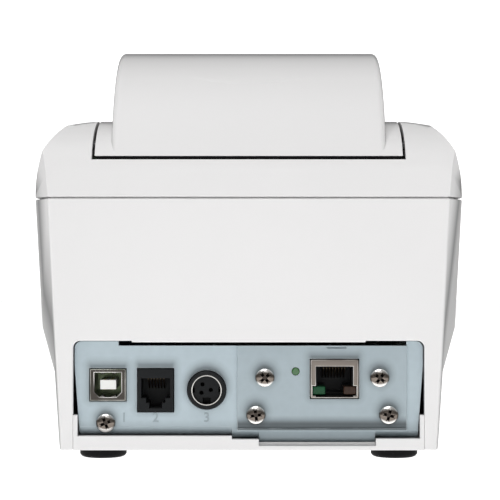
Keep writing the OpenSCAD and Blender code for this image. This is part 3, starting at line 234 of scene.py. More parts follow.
def build_rolled_lines():
    """Lines left by rolling or brushing; the vector is stretched along them."""
    tree, given, out = new_group(
        "rolled_lines",
        [("Vector", "NodeSocketVector", None), ("Stretch", "NodeSocketVector", (60.0, 3000.0, 3000.0)),
         ("Depth", "NodeSocketFloat", 0.5)],
        [("Height", "NodeSocketFloat"), ("Tone", "NodeSocketFloat")])
    drawn = vector_node(tree, "MULTIPLY", given.outputs["Vector"], given.outputs["Stretch"])
    lines = noise(tree, drawn, 1.0, 4.0)
    blotch = noise(tree, given.outputs["Vector"], 55.0, 2.0)
    tone = math_node(tree, "ADD", product(tree, lines, 0.25), product(tree, blotch, 0.75))
    tree.links.new(product(tree, lines, given.outputs["Depth"]), out.inputs["Height"])
    tree.links.new(tone, out.inputs["Tone"])
    return tree


def build_edge_wear_and_highlight():
    """Mixes an edge tint into the rounded edges, which carry the attribute rounding: a worn tint, and on
    the sockets' tin shells a painted highlight.
    """
    tree, given, out = new_group(
        "handled_edges",
        [("Vector", "NodeSocketVector", None), ("Colour", "NodeSocketColor", (0.5, 0.5, 0.5, 1.0)),
         ("Worn", "NodeSocketColor", (0.8, 0.8, 0.8, 1.0)), ("Amount", "NodeSocketFloat", 0.5)],
        [("Colour", "NodeSocketColor"), ("Mask", "NodeSocketFloat")])
    broken = steps(tree, noise(tree, given.outputs["Vector"], 140.0, 3.0), [(0.35, 0.15), (0.62, 1.0)])
    edge_term = product(tree, attribute(tree, "rounding"), broken)
    mask = product(tree, edge_term, given.outputs["Amount"], clamp=True)
    edge_mix = mix_colour(tree, mask, given.outputs["Colour"], given.outputs["Worn"])
    tree.links.new(edge_mix, out.inputs["Colour"])
    tree.links.new(mask, out.inputs["Mask"])
    return tree


def build_settled_dust():
    """A thin film of dust on what faces up."""
    tree, given, out = new_group(
        "settled_dust",
        [("Vector", "NodeSocketVector", None), ("Colour", "NodeSocketColor", (0.5, 0.5, 0.5, 1.0)),
         ("Amount", "NodeSocketFloat", 0.1)],
        [("Colour", "NodeSocketColor"), ("Mask", "NodeSocketFloat")])
    facing = axes(tree, add(tree, "ShaderNodeNewGeometry").outputs["Normal"])
    up = steps(tree, facing[2], [(0.55, 0.0), (1.0, 1.0)])
    patch = noise(tree, given.outputs["Vector"], 260.0, 5.0)
    mask = product(tree, product(tree, up, patch), given.outputs["Amount"], clamp=True)
    dusty = mix_colour(tree, mask, given.outputs["Colour"], DUST)
    tree.links.new(dusty, out.inputs["Colour"])
    tree.links.new(mask, out.inputs["Mask"])
    return tree


def build_soft_shade():
    """A soft shade on a sheet round a fitting of a given place and half size, seen along Y."""
    tree, given, out = new_group(
        "soft_shade",
        [("Vector", "NodeSocketVector", None), ("Place", "NodeSocketVector", None),
         ("Half", "NodeSocketVector", None), ("Radius", "NodeSocketFloat", 0.0),
         ("Reach", "NodeSocketFloat", 0.003), ("Shade", "NodeSocketFloat", 1.0)],
        [("Shade", "NodeSocketFloat")])
    flat = vector_node(tree, "MULTIPLY", given.outputs["Vector"], (1.0, 0.0, 1.0))
    away = vector_node(tree, "SUBTRACT", flat, given.outputs["Place"])
    past = vector_node(tree, "SUBTRACT", vector_node(tree, "ABSOLUTE", away), given.outputs["Half"])
    outer = vector_node(tree, "MAXIMUM", past)
    gap = math_node(tree, "SUBTRACT", vector_node(tree, "LENGTH", outer, result="Value"),
                    given.outputs["Radius"])
    ring = steps(tree, math_node(tree, "DIVIDE", gap, given.outputs["Reach"], clamp=True),
                 [(0.0, 0.45), (0.25, 0.68), (0.6, 0.89), (1.0, 1.0)])
    tree.links.new(product(tree, given.outputs["Shade"], ring), out.inputs["Shade"])
    return tree


GROUP_MAKERS = {
    "soft_shade": build_soft_shade,
    "mould_grain": build_mould_grain,
    "rolled_lines": build_rolled_lines,
    "handled_edges": build_edge_wear_and_highlight,
    "settled_dust": build_settled_dust,
}


def use_group(tree, name, links):
    group = bpy.data.node_groups.get(name) or GROUP_MAKERS[name]()
    return add(tree, "ShaderNodeGroup", links, node_tree=group)


# Materials

def rgba(value):
    return (value[0], value[1], value[2], 1.0)


def new_material(name, **constants):
    material = bpy.data.materials.new(name)
    material.use_nodes = True
    tree = material.node_tree
    shader = tree.nodes["Principled BSDF"]
    for key, value in constants.items():
        shader.inputs[key.replace("_", " ")].default_value = value
    place = add(tree, "ShaderNodeTexCoord").outputs["Object"]
    return material, tree, shader, place


def bump(tree, shader, height, strength, distance):
    node = add(tree, "ShaderNodeBump", {"Height": height, "Strength": strength, "Distance": distance})
    tree.links.new(node.outputs[0], shader.inputs["Normal"])


def moulded(name, tint, roughness, grain=0.35, depth=0.12, edge_mix=0.35, cloud=0.04, dust=0.05, gloss=0.12,
            shine=0.45, rim=None):
    """Moulded plastic: grain, slow tone, rubbed edges, a trace of dust; rim darkens it at a slant, a
    painted dark reflection along its outline.
    """
    material, tree, shader, place = new_material(name, Specular_IOR_Level=shine)
    skin = use_group(tree, "mould_grain", {"Vector": place, "Grain Size": grain, "Cloud": cloud})
    lighter = tuple(min(1.0, channel * 1.12 + 0.012) for channel in tint)
    edges = use_group(tree, "handled_edges", {
        "Vector": place, "Colour": scaled(tree, tint, skin.outputs["Tone"]), "Worn": rgba(lighter),
        "Amount": edge_mix})
    dusty = use_group(tree, "settled_dust", {"Vector": place, "Colour": edges.outputs["Colour"],
                                             "Amount": dust})
    skin_colour = dusty.outputs["Colour"]
    if rim:
        slant = add(tree, "ShaderNodeLayerWeight", {"Blend": 0.5}).outputs["Facing"]
        skin_colour = mix_colour(tree, 1.0, skin_colour, steps(tree, slant, rim), "MULTIPLY")
    tree.links.new(skin_colour, shader.inputs["Base Color"])
    sheen = math_node(tree, "ADD", roughness, product(tree, skin.outputs["Gloss"], gloss))
    edge_term = math_node(tree, "SUBTRACT", sheen, product(tree, edges.outputs["Mask"], 0.15))
    tree.links.new(math_node(tree, "ADD", edge_term, dusty.outputs["Mask"]), shader.inputs["Roughness"])
    bump(tree, shader, skin.outputs["Height"], depth, grain * 0.25 * MM)
    return material


def plated(name, tint, roughness, stretch=(90.0, 2500.0, 700.0), spread=0.10, depth=0.08, edge_mix=0.5,
           metallic=0.85, recess=None, edge=None):
    """Plated sheet or turned metal: drawn lines, blotches, bright worn edges, or with edge given a painted
    highlight; recess paints its hollows, a painted shade where that colour is dark.
    """
    material, tree, shader, place = new_material(name, Metallic=metallic)
    lines = use_group(tree, "rolled_lines", {"Vector": place, "Stretch": stretch, "Depth": 1.0})
    shade = math_node(tree, "ADD", 1.0 - spread / 2, product(tree, lines.outputs["Tone"], spread))
    # With edge given, the rounded edges are painted that bright colour, a painted highlight; without it
    # they take a lighter worn tint.
    bright = edge or tuple(min(1.0, channel * 1.35 + 0.03) for channel in tint)
    skin = use_group(tree, "handled_edges", {"Vector": place, "Colour": scaled(tree, tint, shade),
                                             "Worn": rgba(bright), "Amount": edge_mix}).outputs["Colour"]
    # recess paints the hollows with its colour; where that colour is dark it is a painted shade.
    if recess:
        skin = mix_colour(tree, attribute(tree, "recess"), skin, rgba(recess))
    tree.links.new(skin, shader.inputs["Base Color"])
    gloss = math_node(tree, "MULTIPLY_ADD", lines.outputs["Tone"], 0.22, roughness - 0.11)
    tree.links.new(gloss, shader.inputs["Roughness"])
    bump(tree, shader, lines.outputs["Height"], depth, 0.05 * MM)
    return material


def nickel(name, bright, deep):
    """Bright nickel with a painted reflection: the faces turned up or down are painted bright and the
    upright ones dark, and the cross recess is painted dark as shade.
    """
    material = plated(name, bright, 0.14, stretch=(700.0, 90.0, 700.0), metallic=1.0, spread=0.06, edge_mix=0.1)
    tree = material.node_tree
    shader = tree.nodes["Principled BSDF"]
    skin = shader.inputs["Base Color"].links[0].from_socket
    facing = axes(tree, add(tree, "ShaderNodeNewGeometry").outputs["Normal"])
    rim = steps(tree, math_node(tree, "ABSOLUTE", facing[2]), [(0.22, 0.0), (0.46, 1.0)])
    body = mix_colour(tree, rim, rgba(deep), skin)
    # Painted shade in the cross recess.
    recess_shade = rgba([0.25 * channel for channel in deep])
    marked = mix_colour(tree, attribute(tree, "recess"), body, recess_shade)
    tree.links.new(marked, shader.inputs["Base Color"])
    return material


def rubber(name, tint):
    return moulded(name, tint, 0.62, grain=0.25, depth=0.2, edge_mix=0.25, cloud=0.12, dust=0.05, shine=0.1)


def fittings(plate_low, plate_high):
    """Place, half size and radius of what stands on the rear plates, raised as the shade lies above it."""
    found = []
    for node, rise in (("usb_shell", 0.9), ("drawer_socket", 1.3), ("network_shell", 0.9)):
        low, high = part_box(node)
        found.append(((low[0] + high[0]) / 2, (low[2] + high[2]) / 2 + rise * MM,
                      (high[0] - low[0]) / 2 - 0.4 * MM, (high[2] - low[2]) / 2, 0.0))
    low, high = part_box("power_socket")
    found.append(((low[0] + high[0]) / 2, (low[2] + high[2]) / 2 + 1.2 * MM, 0.0, 0.0,
                  (high[0] - low[0]) / 2 - 0.4 * MM))
    radius = look("panel").screw_width / 2
    found += [(x * MM, (z + 1.3) * MM, 0.0, 0.0, 0.8 * radius) for x, z, _, _ in PANEL_SCREWS]
    return [spot for spot in found if plate_low <= spot[0] <= plate_high]


def panel_sheet(name, tint, shade, spots=()):
    """Chromated sheet: satin, faint crystals, soft blotches, and a shade near its bends and fittings."""
    material, tree, shader, place = new_material(name, Metallic=0.35, Specular_IOR_Level=0.5)
    crystals = add(tree, "ShaderNodeTexVoronoi", {"Vector": place, "Scale": 420.0})
    lines = use_group(tree, "rolled_lines", {
        "Vector": place, "Stretch": (70.0, 900.0, 900.0), "Depth": 1.0})
    spread = math_node(tree, "ADD", product(tree, crystals.outputs["Distance"], 0.05),
                       product(tree, lines.outputs["Tone"], 0.10))
    # The ramp's stops stand at heights above the table, where 1.0 is 25 mm up
    bend = steps(tree, product(tree, axes(tree, place)[2], 40.0), shade)
    for x, z, wide, tall, radius in spots:
        bend = use_group(tree, "soft_shade", {
            "Vector": place, "Place": (x, 0.0, z), "Half": (wide, 1.0, tall), "Radius": radius,
            "Reach": SHADE_REACH, "Shade": bend}).outputs["Shade"]
    even = product(tree, math_node(tree, "ADD", 0.93, spread), bend)
    edges = use_group(tree, "handled_edges", {"Vector": place, "Colour": scaled(tree, tint, even),
                                              "Worn": (0.60, 0.65, 0.67, 1.0), "Amount": 0.6})
    tree.links.new(edges.outputs["Colour"], shader.inputs["Base Color"])
    gloss = math_node(tree, "MULTIPLY_ADD", lines.outputs["Tone"], 0.2, 0.36)
    tree.links.new(gloss, shader.inputs["Roughness"])
    bump(tree, shader, lines.outputs["Height"], 0.06, 0.04 * MM)
    return material


def circuit_board(name, tint):
    """Solder resist with copper tracks shining through."""
    material, tree, shader, place = new_material(name, Specular_IOR_Level=0.5)
    tracks = add(tree, "ShaderNodeTexBrick", {
        "Vector": place, "Scale": 160.0, "Mortar Size": 0.05, "Mortar Smooth": 0.1, "Brick Width": 1.7,
        "Row Height": 0.4, "Color1": rgba(tint), "Color2": rgba([c * 1.25 for c in tint]),
        "Mortar": rgba([c * 2.2 for c in tint])}, offset=0.37)
    tree.links.new(tracks.outputs["Color"], shader.inputs["Base Color"])
    cloud = noise(tree, place, 90.0, 2.0)
    tree.links.new(math_node(tree, "MULTIPLY_ADD", cloud, 0.2, 0.25), shader.inputs["Roughness"])
    bump(tree, shader, tracks.outputs["Fac"], 0.3, 0.03 * MM)
    return material


def lamp_glass(name, tint, glow=0.25, coat=0.5, shine=0.5):
    """Tinted clear plastic with a diffuse core."""
    material, tree, shader, place = new_material(
        name, Roughness=0.18, Coat_Weight=coat, Specular_IOR_Level=shine, Emission_Strength=glow)
    core = noise(tree, place, 1400.0, 2.0)
    deep = mix_colour(tree, core, rgba([c * 0.7 for c in tint]), rgba([min(1, c * 1.5) for c in tint]))
    tree.links.new(deep, shader.inputs["Base Color"])
    tree.links.new(deep, shader.inputs["Emission Color"])
    bump(tree, shader, core, 0.15, 0.04 * MM)
    return material


def film(name, tint):
    """Polyimide film over copper tracks that run down its length."""
    material, tree, shader, place = new_material(name, Roughness=0.3, Coat_Weight=0.3)
    bands = add(tree, "ShaderNodeTexWave", {"Vector": place, "Scale": 260.0, "Distortion": 0.0},
                wave_type="BANDS", bands_direction="X")
    tone = mix_colour(tree, bands.outputs["Fac"], rgba(tint), rgba([min(1, c * 1.7) for c in tint]))
    tree.links.new(tone, shader.inputs["Base Color"])
    bump(tree, shader, bands.outputs["Fac"], 0.2, 0.03 * MM)
    return material


def cover_skin(name, tint, grain, rim):
    """The case's plastic with the shallow finger line pressed into the paper cover."""
    material = moulded(name, tint, 0.5, grain=grain, depth=0.12, rim=rim)
    tree = material.node_tree
    shader = tree.nodes["Principled BSDF"]
    place = add(tree, "ShaderNodeTexCoord").outputs["Object"]
    across, along, up = axes(tree, place)
    # The line follows a shallow arc: its height grows with the square of the distance from the middle
    rise = product(tree, product(tree, across, across), LINE_STEEP)
    line = math_node(tree, "SUBTRACT", math_node(tree, "SUBTRACT", up, LINE_HEIGHT), rise)
    step = steps(tree, math_node(tree, "MULTIPLY_ADD", line, 500.0, 0.5), [(0.25, 0.0), (0.75, 1.0)])
    near = steps(tree, math_node(tree, "ABSOLUTE", product(tree, across, 36.0)), [(0.35, 1.0), (0.9, 0.0)])
    behind = steps(tree, product(tree, along, 10.0), [(0.55, 0.0), (0.7, 1.0)])
    pressed = product(tree, product(tree, step, near), behind)
    above = steps(tree, math_node(tree, "MULTIPLY_ADD", line, -90.0, 1.0), [(0.1, 0.0), (1.0, 1.0)])
    height = product(tree, pressed, above)
    fine = shader.inputs["Normal"].links[0].from_node
    node = add(tree, "ShaderNodeBump", {"Height": height, "Strength": 0.9, "Distance": 0.5 * MM,
                                        "Normal": fine.outputs[0]})
    tree.links.new(node.outputs[0], shader.inputs["Normal"])
    return material


def build_materials():
    case, panel, works = look("case"), look("panel"), look("works")
    shell = tuple(case.shell)
    grain = case.grain / MM
    socket = tuple(panel.socket)
    steel = tuple(works.steel)
    # rim and crest darken the shell and the cover at a slant: a painted dark reflection along their
    # outlines, steepest on the cover's crest.
    rim = [(0.50, 1.0), (0.66, 0.93), (0.80, 0.82), (0.92, 0.50), (1.0, 0.16)]
    crest = [(0.46, 1.0), (0.57, 0.93), (0.66, 0.83), (0.74, 0.70), (0.80, 0.50), (0.86, 0.22), (1.0, 0.10)]
    return {
        "shell": moulded("moulded_shell", shell, 0.5, grain=grain, rim=rim),
        "cover": cover_skin("cover_skin", shell, grain, crest),
        "inside": moulded("hopper_plastic", tuple(case.inside), 0.42, grain=0.3, depth=0.1),
        "rubber": rubber("foot_rubber", tuple(case.rubber)),
        "platen": rubber("platen_rubber_skin", (0.024, 0.024, 0.026)),
        # Painted shade: the plate darkens along its bottom bend and the card in a band above its bottom
        # flange's edge, a painted shadow of the flange; both take a painted shadow round each fitting.
        "plate": panel_sheet("chromated_sheet", tuple(1.14 * c for c in panel.plate),
                             [(0.30, 0.50), (0.41, 0.74), (0.56, 1.0)],
                             fittings(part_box("card_plate")[1][0], 1.0)),
        "card": panel_sheet("chromated_card", tuple(0.93 * c for c in panel.plate),
                            [(0.415, 1.0), (0.43, 0.33), (0.47, 0.34), (0.505, 0.27), (0.53, 0.42),
                             (0.565, 0.72), (0.62, 1.0)],
                            fittings(-1.0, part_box("card_plate")[1][0])),
        # The numerals are a darker tint of the plate, a painted shade standing in for the shading of their
        # relief.
        "pressed": panel_sheet("pressed_marks", tuple(0.82 * c for c in panel.plate),
                               [(0.0, 1.0), (1.0, 1.0)]),
        # Screw heads: a painted reflection, bright faces turned up and down and dark brown upright ones,
        # and painted shade in the cross.
        "nickel": nickel("nickel_plate", (0.93, 0.91, 0.88), (0.17, 0.145, 0.125)),
        "chrome": plated("bright_rim", (0.45, 0.44, 0.42), 0.16, metallic=1.0, spread=0.05, edge_mix=0.2),
        "dark_steel": plated("blackened_steel", (0.05, 0.05, 0.052), 0.4, metallic=0.9),
        # Socket shells: edge paints a bright highlight on the rounded rims; recess paints the network
        # shell's hollow and outer sides near black as painted shade, and the USB shell's olive.
        "tin": plated("tin_plate", (0.20, 0.175, 0.155), 0.3, stretch=(1800.0, 90.0, 1800.0), metallic=1.0,
                      edge_mix=1.0, recess=(0.018, 0.016, 0.014), edge=(0.62, 0.60, 0.57)),
        "dull_tin": plated("dull_tin_plate", (0.06, 0.054, 0.048), 0.3, stretch=(1800.0, 90.0, 1800.0),
                           metallic=1.0, edge_mix=1.0, recess=(0.12, 0.145, 0.09), edge=(0.78, 0.76, 0.73)),
        "tongue": moulded("tongue_plastic", (0.86, 0.86, 0.84), 0.35, grain=0.2, depth=0.05),
        "socket": moulded("socket_plastic", socket, 0.4, grain=0.2, depth=0.08, cloud=0.2, dust=0.03,
                          shine=0.16),
        "lamp": lamp_glass("green_lamp", tuple(panel.lamp), glow=0.06),
        "jade": lamp_glass("jade_lamp", (0.004, 0.05, 0.018), glow=0.03, coat=0.0, shine=0.2),
        "amber": lamp_glass("amber_lamp", (0.03, 0.014, 0.008), glow=0.02, coat=0.0, shine=0.2),
        "gold": plated("gold_contact", (0.42, 0.29, 0.11), 0.3, stretch=(2500.0, 120.0, 2500.0),
                       metallic=1.0),
        # The socket contacts are painted dark, a painted shade inside the sockets' hollows.
        "shaded_contact": plated("dull_contact", (0.055, 0.042, 0.026), 0.45, stretch=(2500.0, 120.0, 2500.0),
                         metallic=0.9),
        "board": circuit_board("solder_resist", tuple(works.board)),
        "chip": moulded("chip_resin", (0.02, 0.02, 0.022), 0.45, grain=0.15, depth=0.1, dust=0.02),
        "can": moulded("capacitor_sleeve", (0.04, 0.07, 0.16), 0.25, grain=0.4, depth=0.03, dust=0.02),
        "steel": plated("rolled_steel", steel, 0.34, metallic=1.0),
        "blade": plated("ground_blade", (0.68, 0.69, 0.70), 0.22, stretch=(120.0, 3500.0, 900.0),
                        metallic=1.0),
        "gear": moulded("acetal", tuple(works.gear), 0.3, grain=0.4, depth=0.04, dust=0.02),
        "brass": plated("turned_brass", (0.68, 0.48, 0.20), 0.28, stretch=(2500.0, 300.0, 300.0),
                        metallic=1.0),
        "film": film("amber_film", (0.30, 0.13, 0.02)),
        "key": moulded("key_plastic", tuple(works.key), 0.4, grain=0.3, depth=0.1),
        "lens": lamp_glass("light_pipe", (0.35, 0.62, 0.38), glow=0.05),
        "glaze": moulded("glazed_strip", (0.05, 0.045, 0.045), 0.12, grain=0.8, depth=0.02, dust=0.0),
        "motor": plated("motor_can", (0.34, 0.35, 0.36), 0.4, metallic=1.0),
    }


MATERIALS = {}


def material(name):
    if not MATERIALS:
        MATERIALS.update(build_materials())
    return MATERIALS[name]


# Mesh helpers

def crease(bm, limit):
    """Smooth faces, with a crease where they meet at more than limit degrees."""
    bm.normal_update()
    for face in bm.faces:
        face.smooth = True
    for edge in bm.edges:
        edge.smooth = edge.is_manifold and edge.calc_face_angle(0.0) <= math.radians(limit)


def finish_mesh(bm, name, finish, body, replaces=(), limit=34.0):
    """Turns a bmesh into a piece: smooth faces, sharp creases, weighted normals, rides on its body."""
    crease(bm, limit)
    mesh = bpy.data.meshes.new(name)
    bm.to_mesh(mesh)
    bm.free()
    piece = bpy.data.objects.new(name, mesh)
    bpy.context.scene.collection.objects.link(piece)
    weigh = piece.modifiers.new("weigh", "WEIGHTED_NORMAL")
    weigh.keep_sharp = True
    bake(piece)
    dress(piece, finish, body, replaces)
    return piece


def bake(piece):
    """Applies a piece's modifiers to a plain mesh."""
    view = bpy.context.evaluated_depsgraph_get()
    view.update()
    mesh = bpy.data.meshes.new_from_object(piece.evaluated_get(view), depsgraph=view)
    piece.modifiers.clear()
    piece.data = mesh
    mesh.name = piece.name


def dress(piece, finish, body, replaces=()):
    if finish is not None:
        piece.data.materials.clear()
        piece.data.materials.append(material(finish))
    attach(piece, body)
    if replaces:
        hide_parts(*replaces)


def merged_copy(node):
    """A node's mesh with its loose triangles joined into flat faces."""
    bm = bmesh.new()
    bm.from_mesh(NODES[node].data)
    bmesh.ops.remove_doubles(bm, verts=bm.verts[:], dist=WELD)
    bmesh.ops.dissolve_limit(bm, angle_limit=math.radians(FLAT), use_dissolve_boundaries=False,
                             verts=bm.verts[:], edges=bm.edges[:])
    return bm


def round_edges(bm, width, segments=2, limit=30.0, keep=None):
    """Rounds the outward edges, and marks the new faces for the edge finish."""
    bound = math.radians(limit)
    surface = BVHTree.FromBMesh(bm)
    sharp = [edge for edge in bm.edges if edge.is_manifold and edge.calc_face_angle_signed(0.0) > bound
             and (keep is None or keep(edge))]
    made = bmesh.ops.bevel(bm, geom=sharp, offset=width, offset_type="OFFSET", segments=segments,
                           profile=0.5, affect="EDGES", clamp_overlap=False)
    layer = bm.loops.layers.float.new("rounding")
    for face in made["faces"]:
        for loop in face.loops:
            loop[layer] = 1.0
    # Where roundings meet in a narrow place, a stray point is drawn back onto the surface
    for vert in {vert for face in made["faces"] for vert in face.verts}:
        near, _, _, distance = surface.find_nearest(vert.co)
        if distance > STRAY * width:
            vert.co = near


def rounded(node, name, finish, body, width, segments=2, limit=30.0, keep=None):
    bm = merged_copy(node)
    round_edges(bm, width, segments, limit, keep)
    return finish_mesh(bm, name, finish, body, replaces=[node])


def eased(finish, width, *nodes, segments=2, limit=30.0):
    """Pieces with lightly rounded edges in place of plain nodes; width is in mm."""
    for node in nodes:
        rounded(node, node + "_form", finish, BODIES[node], width * MM, segments, limit)


def hollow_shell(node, name, finish, width, segments, wall, reach):
    """A socket's metal shell: a painted highlight on its rounded rims, and the attribute recess on its
    outer sides and, growing with depth, in its hollow; the finish paints its recess colour there, on the
    network shell a painted shade: a dark outline and a hollow that darkens with depth.
    """
    bm = merged_copy(node)
    round_edges(bm, width, segments)
    low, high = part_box(node)
    layer = bm.loops.layers.float.new("recess")
    for face in bm.faces:
        at = face.calc_center_median()
        inside = all(low[i] + wall < at[i] < high[i] - wall for i in (0, 2))
        for loop in face.loops:
            if inside:
                loop[layer] = max(0.0, min(1.0, (high[1] - loop.vert.co.y - width) / reach))
            elif abs(face.normal.y) < 0.9:
                loop[layer] = 1.0
    return finish_mesh(bm, name, finish, BODIES[node], replaces=[node])


def paint(finish, *nodes):
    """Gives carried-over nodes their material."""
    for name in nodes:
        mesh = NODES[name].data
        if mesh.materials:
            for index in range(len(mesh.materials)):
                NODES[name].material_slots[index].material = material(finish)
        else:
            mesh.materials.append(material(finish))


def middle(node):
    low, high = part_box(node)
    return Vector([(a + b) / 2 for a, b in zip(low, high)])


def lathe(profile, count, axis="Y"):
    """A closed form turned from (radius, height) points; it starts and ends on the axis."""
    bm = bmesh.new()
    rings = []
    for radius, height in profile:
        if radius < 1e-9:
            rings.append([bm.verts.new((0.0, height, 0.0))])
            continue
        rings.append([bm.verts.new((radius * math.cos(2 * math.pi * i / count), height,
                                    radius * math.sin(2 * math.pi * i / count))) for i in range(count)])
    for lower, upper in zip(rings, rings[1:]):
        for i in range(count):
            j = (i + 1) % count
            if len(lower) == 1 and len(upper) > 1:
                bm.faces.new((lower[0], upper[i], upper[j]))
            elif len(upper) == 1 and len(lower) > 1:
                bm.faces.new((lower[j], lower[i], upper[0]))
            elif len(lower) > 1:
                bm.faces.new((lower[i], upper[i], upper[j], lower[j]))
    bmesh.ops.recalc_face_normals(bm, faces=bm.faces[:])
    if axis == "Z":
        turn_about(bm, "X", 90.0)
    return bm


def turn_about(bm, axis, degrees):
    bmesh.ops.rotate(bm, verts=bm.verts[:], cent=(0, 0, 0),
                     matrix=Matrix.Rotation(math.radians(degrees), 3, axis))


def solid_block(bm, low, high):
    """A box between two corners, added to bm."""
    verts = bmesh.ops.create_cube(bm, size=1.0)["verts"]
    bmesh.ops.scale(bm, verts=verts, vec=Vector(high) - Vector(low))
    bmesh.ops.translate(bm, verts=verts, vec=(Vector(high) + Vector(low)) / 2)


def prism(bm, outline, start, end, axis=0):
    """A closed outline carried along an axis; the outline's points are on the other two axes in order."""
    def at(point, depth):
        values = list(point)
        values.insert(axis, depth)
        return values
    first = [bm.verts.new(at(point, start)) for point in outline]
    last = [bm.verts.new(at(point, end)) for point in outline]
    count = len(outline)
    faces = [bm.faces.new(first), bm.faces.new(list(reversed(last)))]
    for i in range(count):
        faces.append(bm.faces.new((first[i], last[i], last[(i + 1) % count], first[(i + 1) % count])))
    bmesh.ops.recalc_face_normals(bm, faces=faces)
    return faces


def chamfer(bm, width, segments=1):
    """Bevels every edge of a small form."""
    bmesh.ops.bevel(bm, geom=bm.edges[:], offset=width, segments=segments, affect="EDGES",
                    offset_type="OFFSET", profile=0.5)


# Geometry node patterns

def pattern_tree(name, sockets):
    tree = bpy.data.node_groups.new(name, "GeometryNodeTree")
    tree.interface.new_socket(name="Geometry", in_out="INPUT", socket_type="NodeSocketGeometry")
    for label, kind, value in sockets:
        socket = tree.interface.new_socket(name=label, in_out="INPUT", socket_type=kind)
        if value is not None:
            socket.default_value = value
    tree.interface.new_socket(name="Geometry", in_out="OUTPUT", socket_type="NodeSocketGeometry")
    return tree, tree.nodes.new("NodeGroupInput"), tree.nodes.new("NodeGroupOutput")


def run_pattern(tree, name, base, values):
    """Runs a tree on a base mesh and returns the plain result."""
    holder = bpy.data.objects.new(name, base)
    bpy.context.scene.collection.objects.link(holder)
    modifier = holder.modifiers.new("pattern", "NODES")
    modifier.node_group = tree
    named = {item.name: item.identifier for item in tree.interface.items_tree
             if item.item_type == "SOCKET" and item.in_out == "INPUT"}
    for label, value in values.items():
        modifier[named[label]] = value
    bake(holder)
    return holder


def build_seated_copies():
    """Copies of a piece on seat points, each turned about Y by the seat's turn."""
    tree, given, out = pattern_tree("seated_copies", [
        ("Piece", "NodeSocketObject", None), ("Size", "NodeSocketFloat", 1.0),
        ("Finish", "NodeSocketMaterial", None)])
    info = add(tree, "GeometryNodeObjectInfo", {"Object": given.outputs["Piece"]},
               transform_space="ORIGINAL")
    turn = add(tree, "GeometryNodeInputNamedAttribute", {"Name": "turn"}, data_type="FLOAT_VECTOR")
    copies = add(tree, "GeometryNodeInstanceOnPoints", {
        "Points": given.outputs["Geometry"], "Instance": info.outputs["Geometry"],
        "Rotation": turn.outputs["Attribute"], "Scale": given.outputs["Size"]})
    real = add(tree, "GeometryNodeRealizeInstances", {"Geometry": copies.outputs[0]})
    painted = add(tree, "GeometryNodeSetMaterial", {"Geometry": real.outputs[0],
                                                    "Material": given.outputs["Finish"]})
    tree.links.new(painted.outputs[0], out.inputs[0])
    return tree


def build_row_copies():
    """Copies of a piece in a straight row."""
    tree, given, out = pattern_tree("row_copies", [
        ("Piece", "NodeSocketObject", None), ("Count", "NodeSocketInt", 8),
        ("Start", "NodeSocketVector", None), ("Step", "NodeSocketVector", None),
        ("Finish", "NodeSocketMaterial", None)])
    info = add(tree, "GeometryNodeObjectInfo", {"Object": given.outputs["Piece"]},
               transform_space="ORIGINAL")
    row = add(tree, "GeometryNodeMeshLine", {"Count": given.outputs["Count"],
                                             "Start Location": given.outputs["Start"],
                                             "Offset": given.outputs["Step"]}, mode="OFFSET")
    copies = add(tree, "GeometryNodeInstanceOnPoints", {"Points": row.outputs[0],
                                                        "Instance": info.outputs["Geometry"]})
    joined = add(tree, "GeometryNodeJoinGeometry")
    tree.links.new(given.outputs["Geometry"], joined.inputs[0])
    tree.links.new(copies.outputs[0], joined.inputs[0])
    real = add(tree, "GeometryNodeRealizeInstances", {"Geometry": joined.outputs[0]})
    painted = add(tree, "GeometryNodeSetMaterial", {"Geometry": real.outputs[0],
                                                    "Material": given.outputs["Finish"]})
    tree.links.new(painted.outputs[0], out.inputs[0])
    return tree


def pattern(name):
    makers = {"seated_copies": build_seated_copies, "row_copies": build_row_copies}
    return bpy.data.node_groups.get(name) or makers[name]()


def prototype(bm, name):
    """A shape for a pattern to copy; it is removed once the pattern is baked."""
    crease(bm, 30.0)
    mesh = bpy.data.meshes.new(name)
    bm.to_mesh(mesh)
    bm.free()
    shape = bpy.data.objects.new(name, mesh)
    bpy.context.scene.collection.objects.link(shape)
    return shape


def discard(shape):
    mesh = shape.data
    bpy.data.objects.remove(shape, do_unlink=True)
    bpy.data.meshes.remove(mesh)


def repeated(kind, name, base, shape, finish, slot, replaces=(), **values):
    """A piece of the frame made by a pattern from copies of a shape, which is removed afterwards."""
    piece = run_pattern(pattern(kind), name, base, {"Piece": shape, "Finish": material(finish), **values})
    discard(shape)
    dress(piece, None, "frame", replaces)


def row(name, shape, finish, slot, count, start, pitch, replaces=()):
    """A row of copies of a shape along X."""
    repeated("row_copies", name, bpy.data.meshes.new(name), shape, finish, slot, replaces,
             Count=count, Start=(start, 0.0, 0.0), Step=(pitch, 0.0, 0.0))


def seat_points(name, seats):
    """A mesh of points with the vector attribute turn; seats are (place, turn about Y)."""
    mesh = bpy.data.meshes.new(name)
    mesh.from_pydata([place for place, turn in seats], [], [])
    layer = mesh.attributes.new("turn", "FLOAT_VECTOR", "POINT")
    for index, (place, turn) in enumerate(seats):
        layer.data[index].vector = turn
    return mesh


# Case

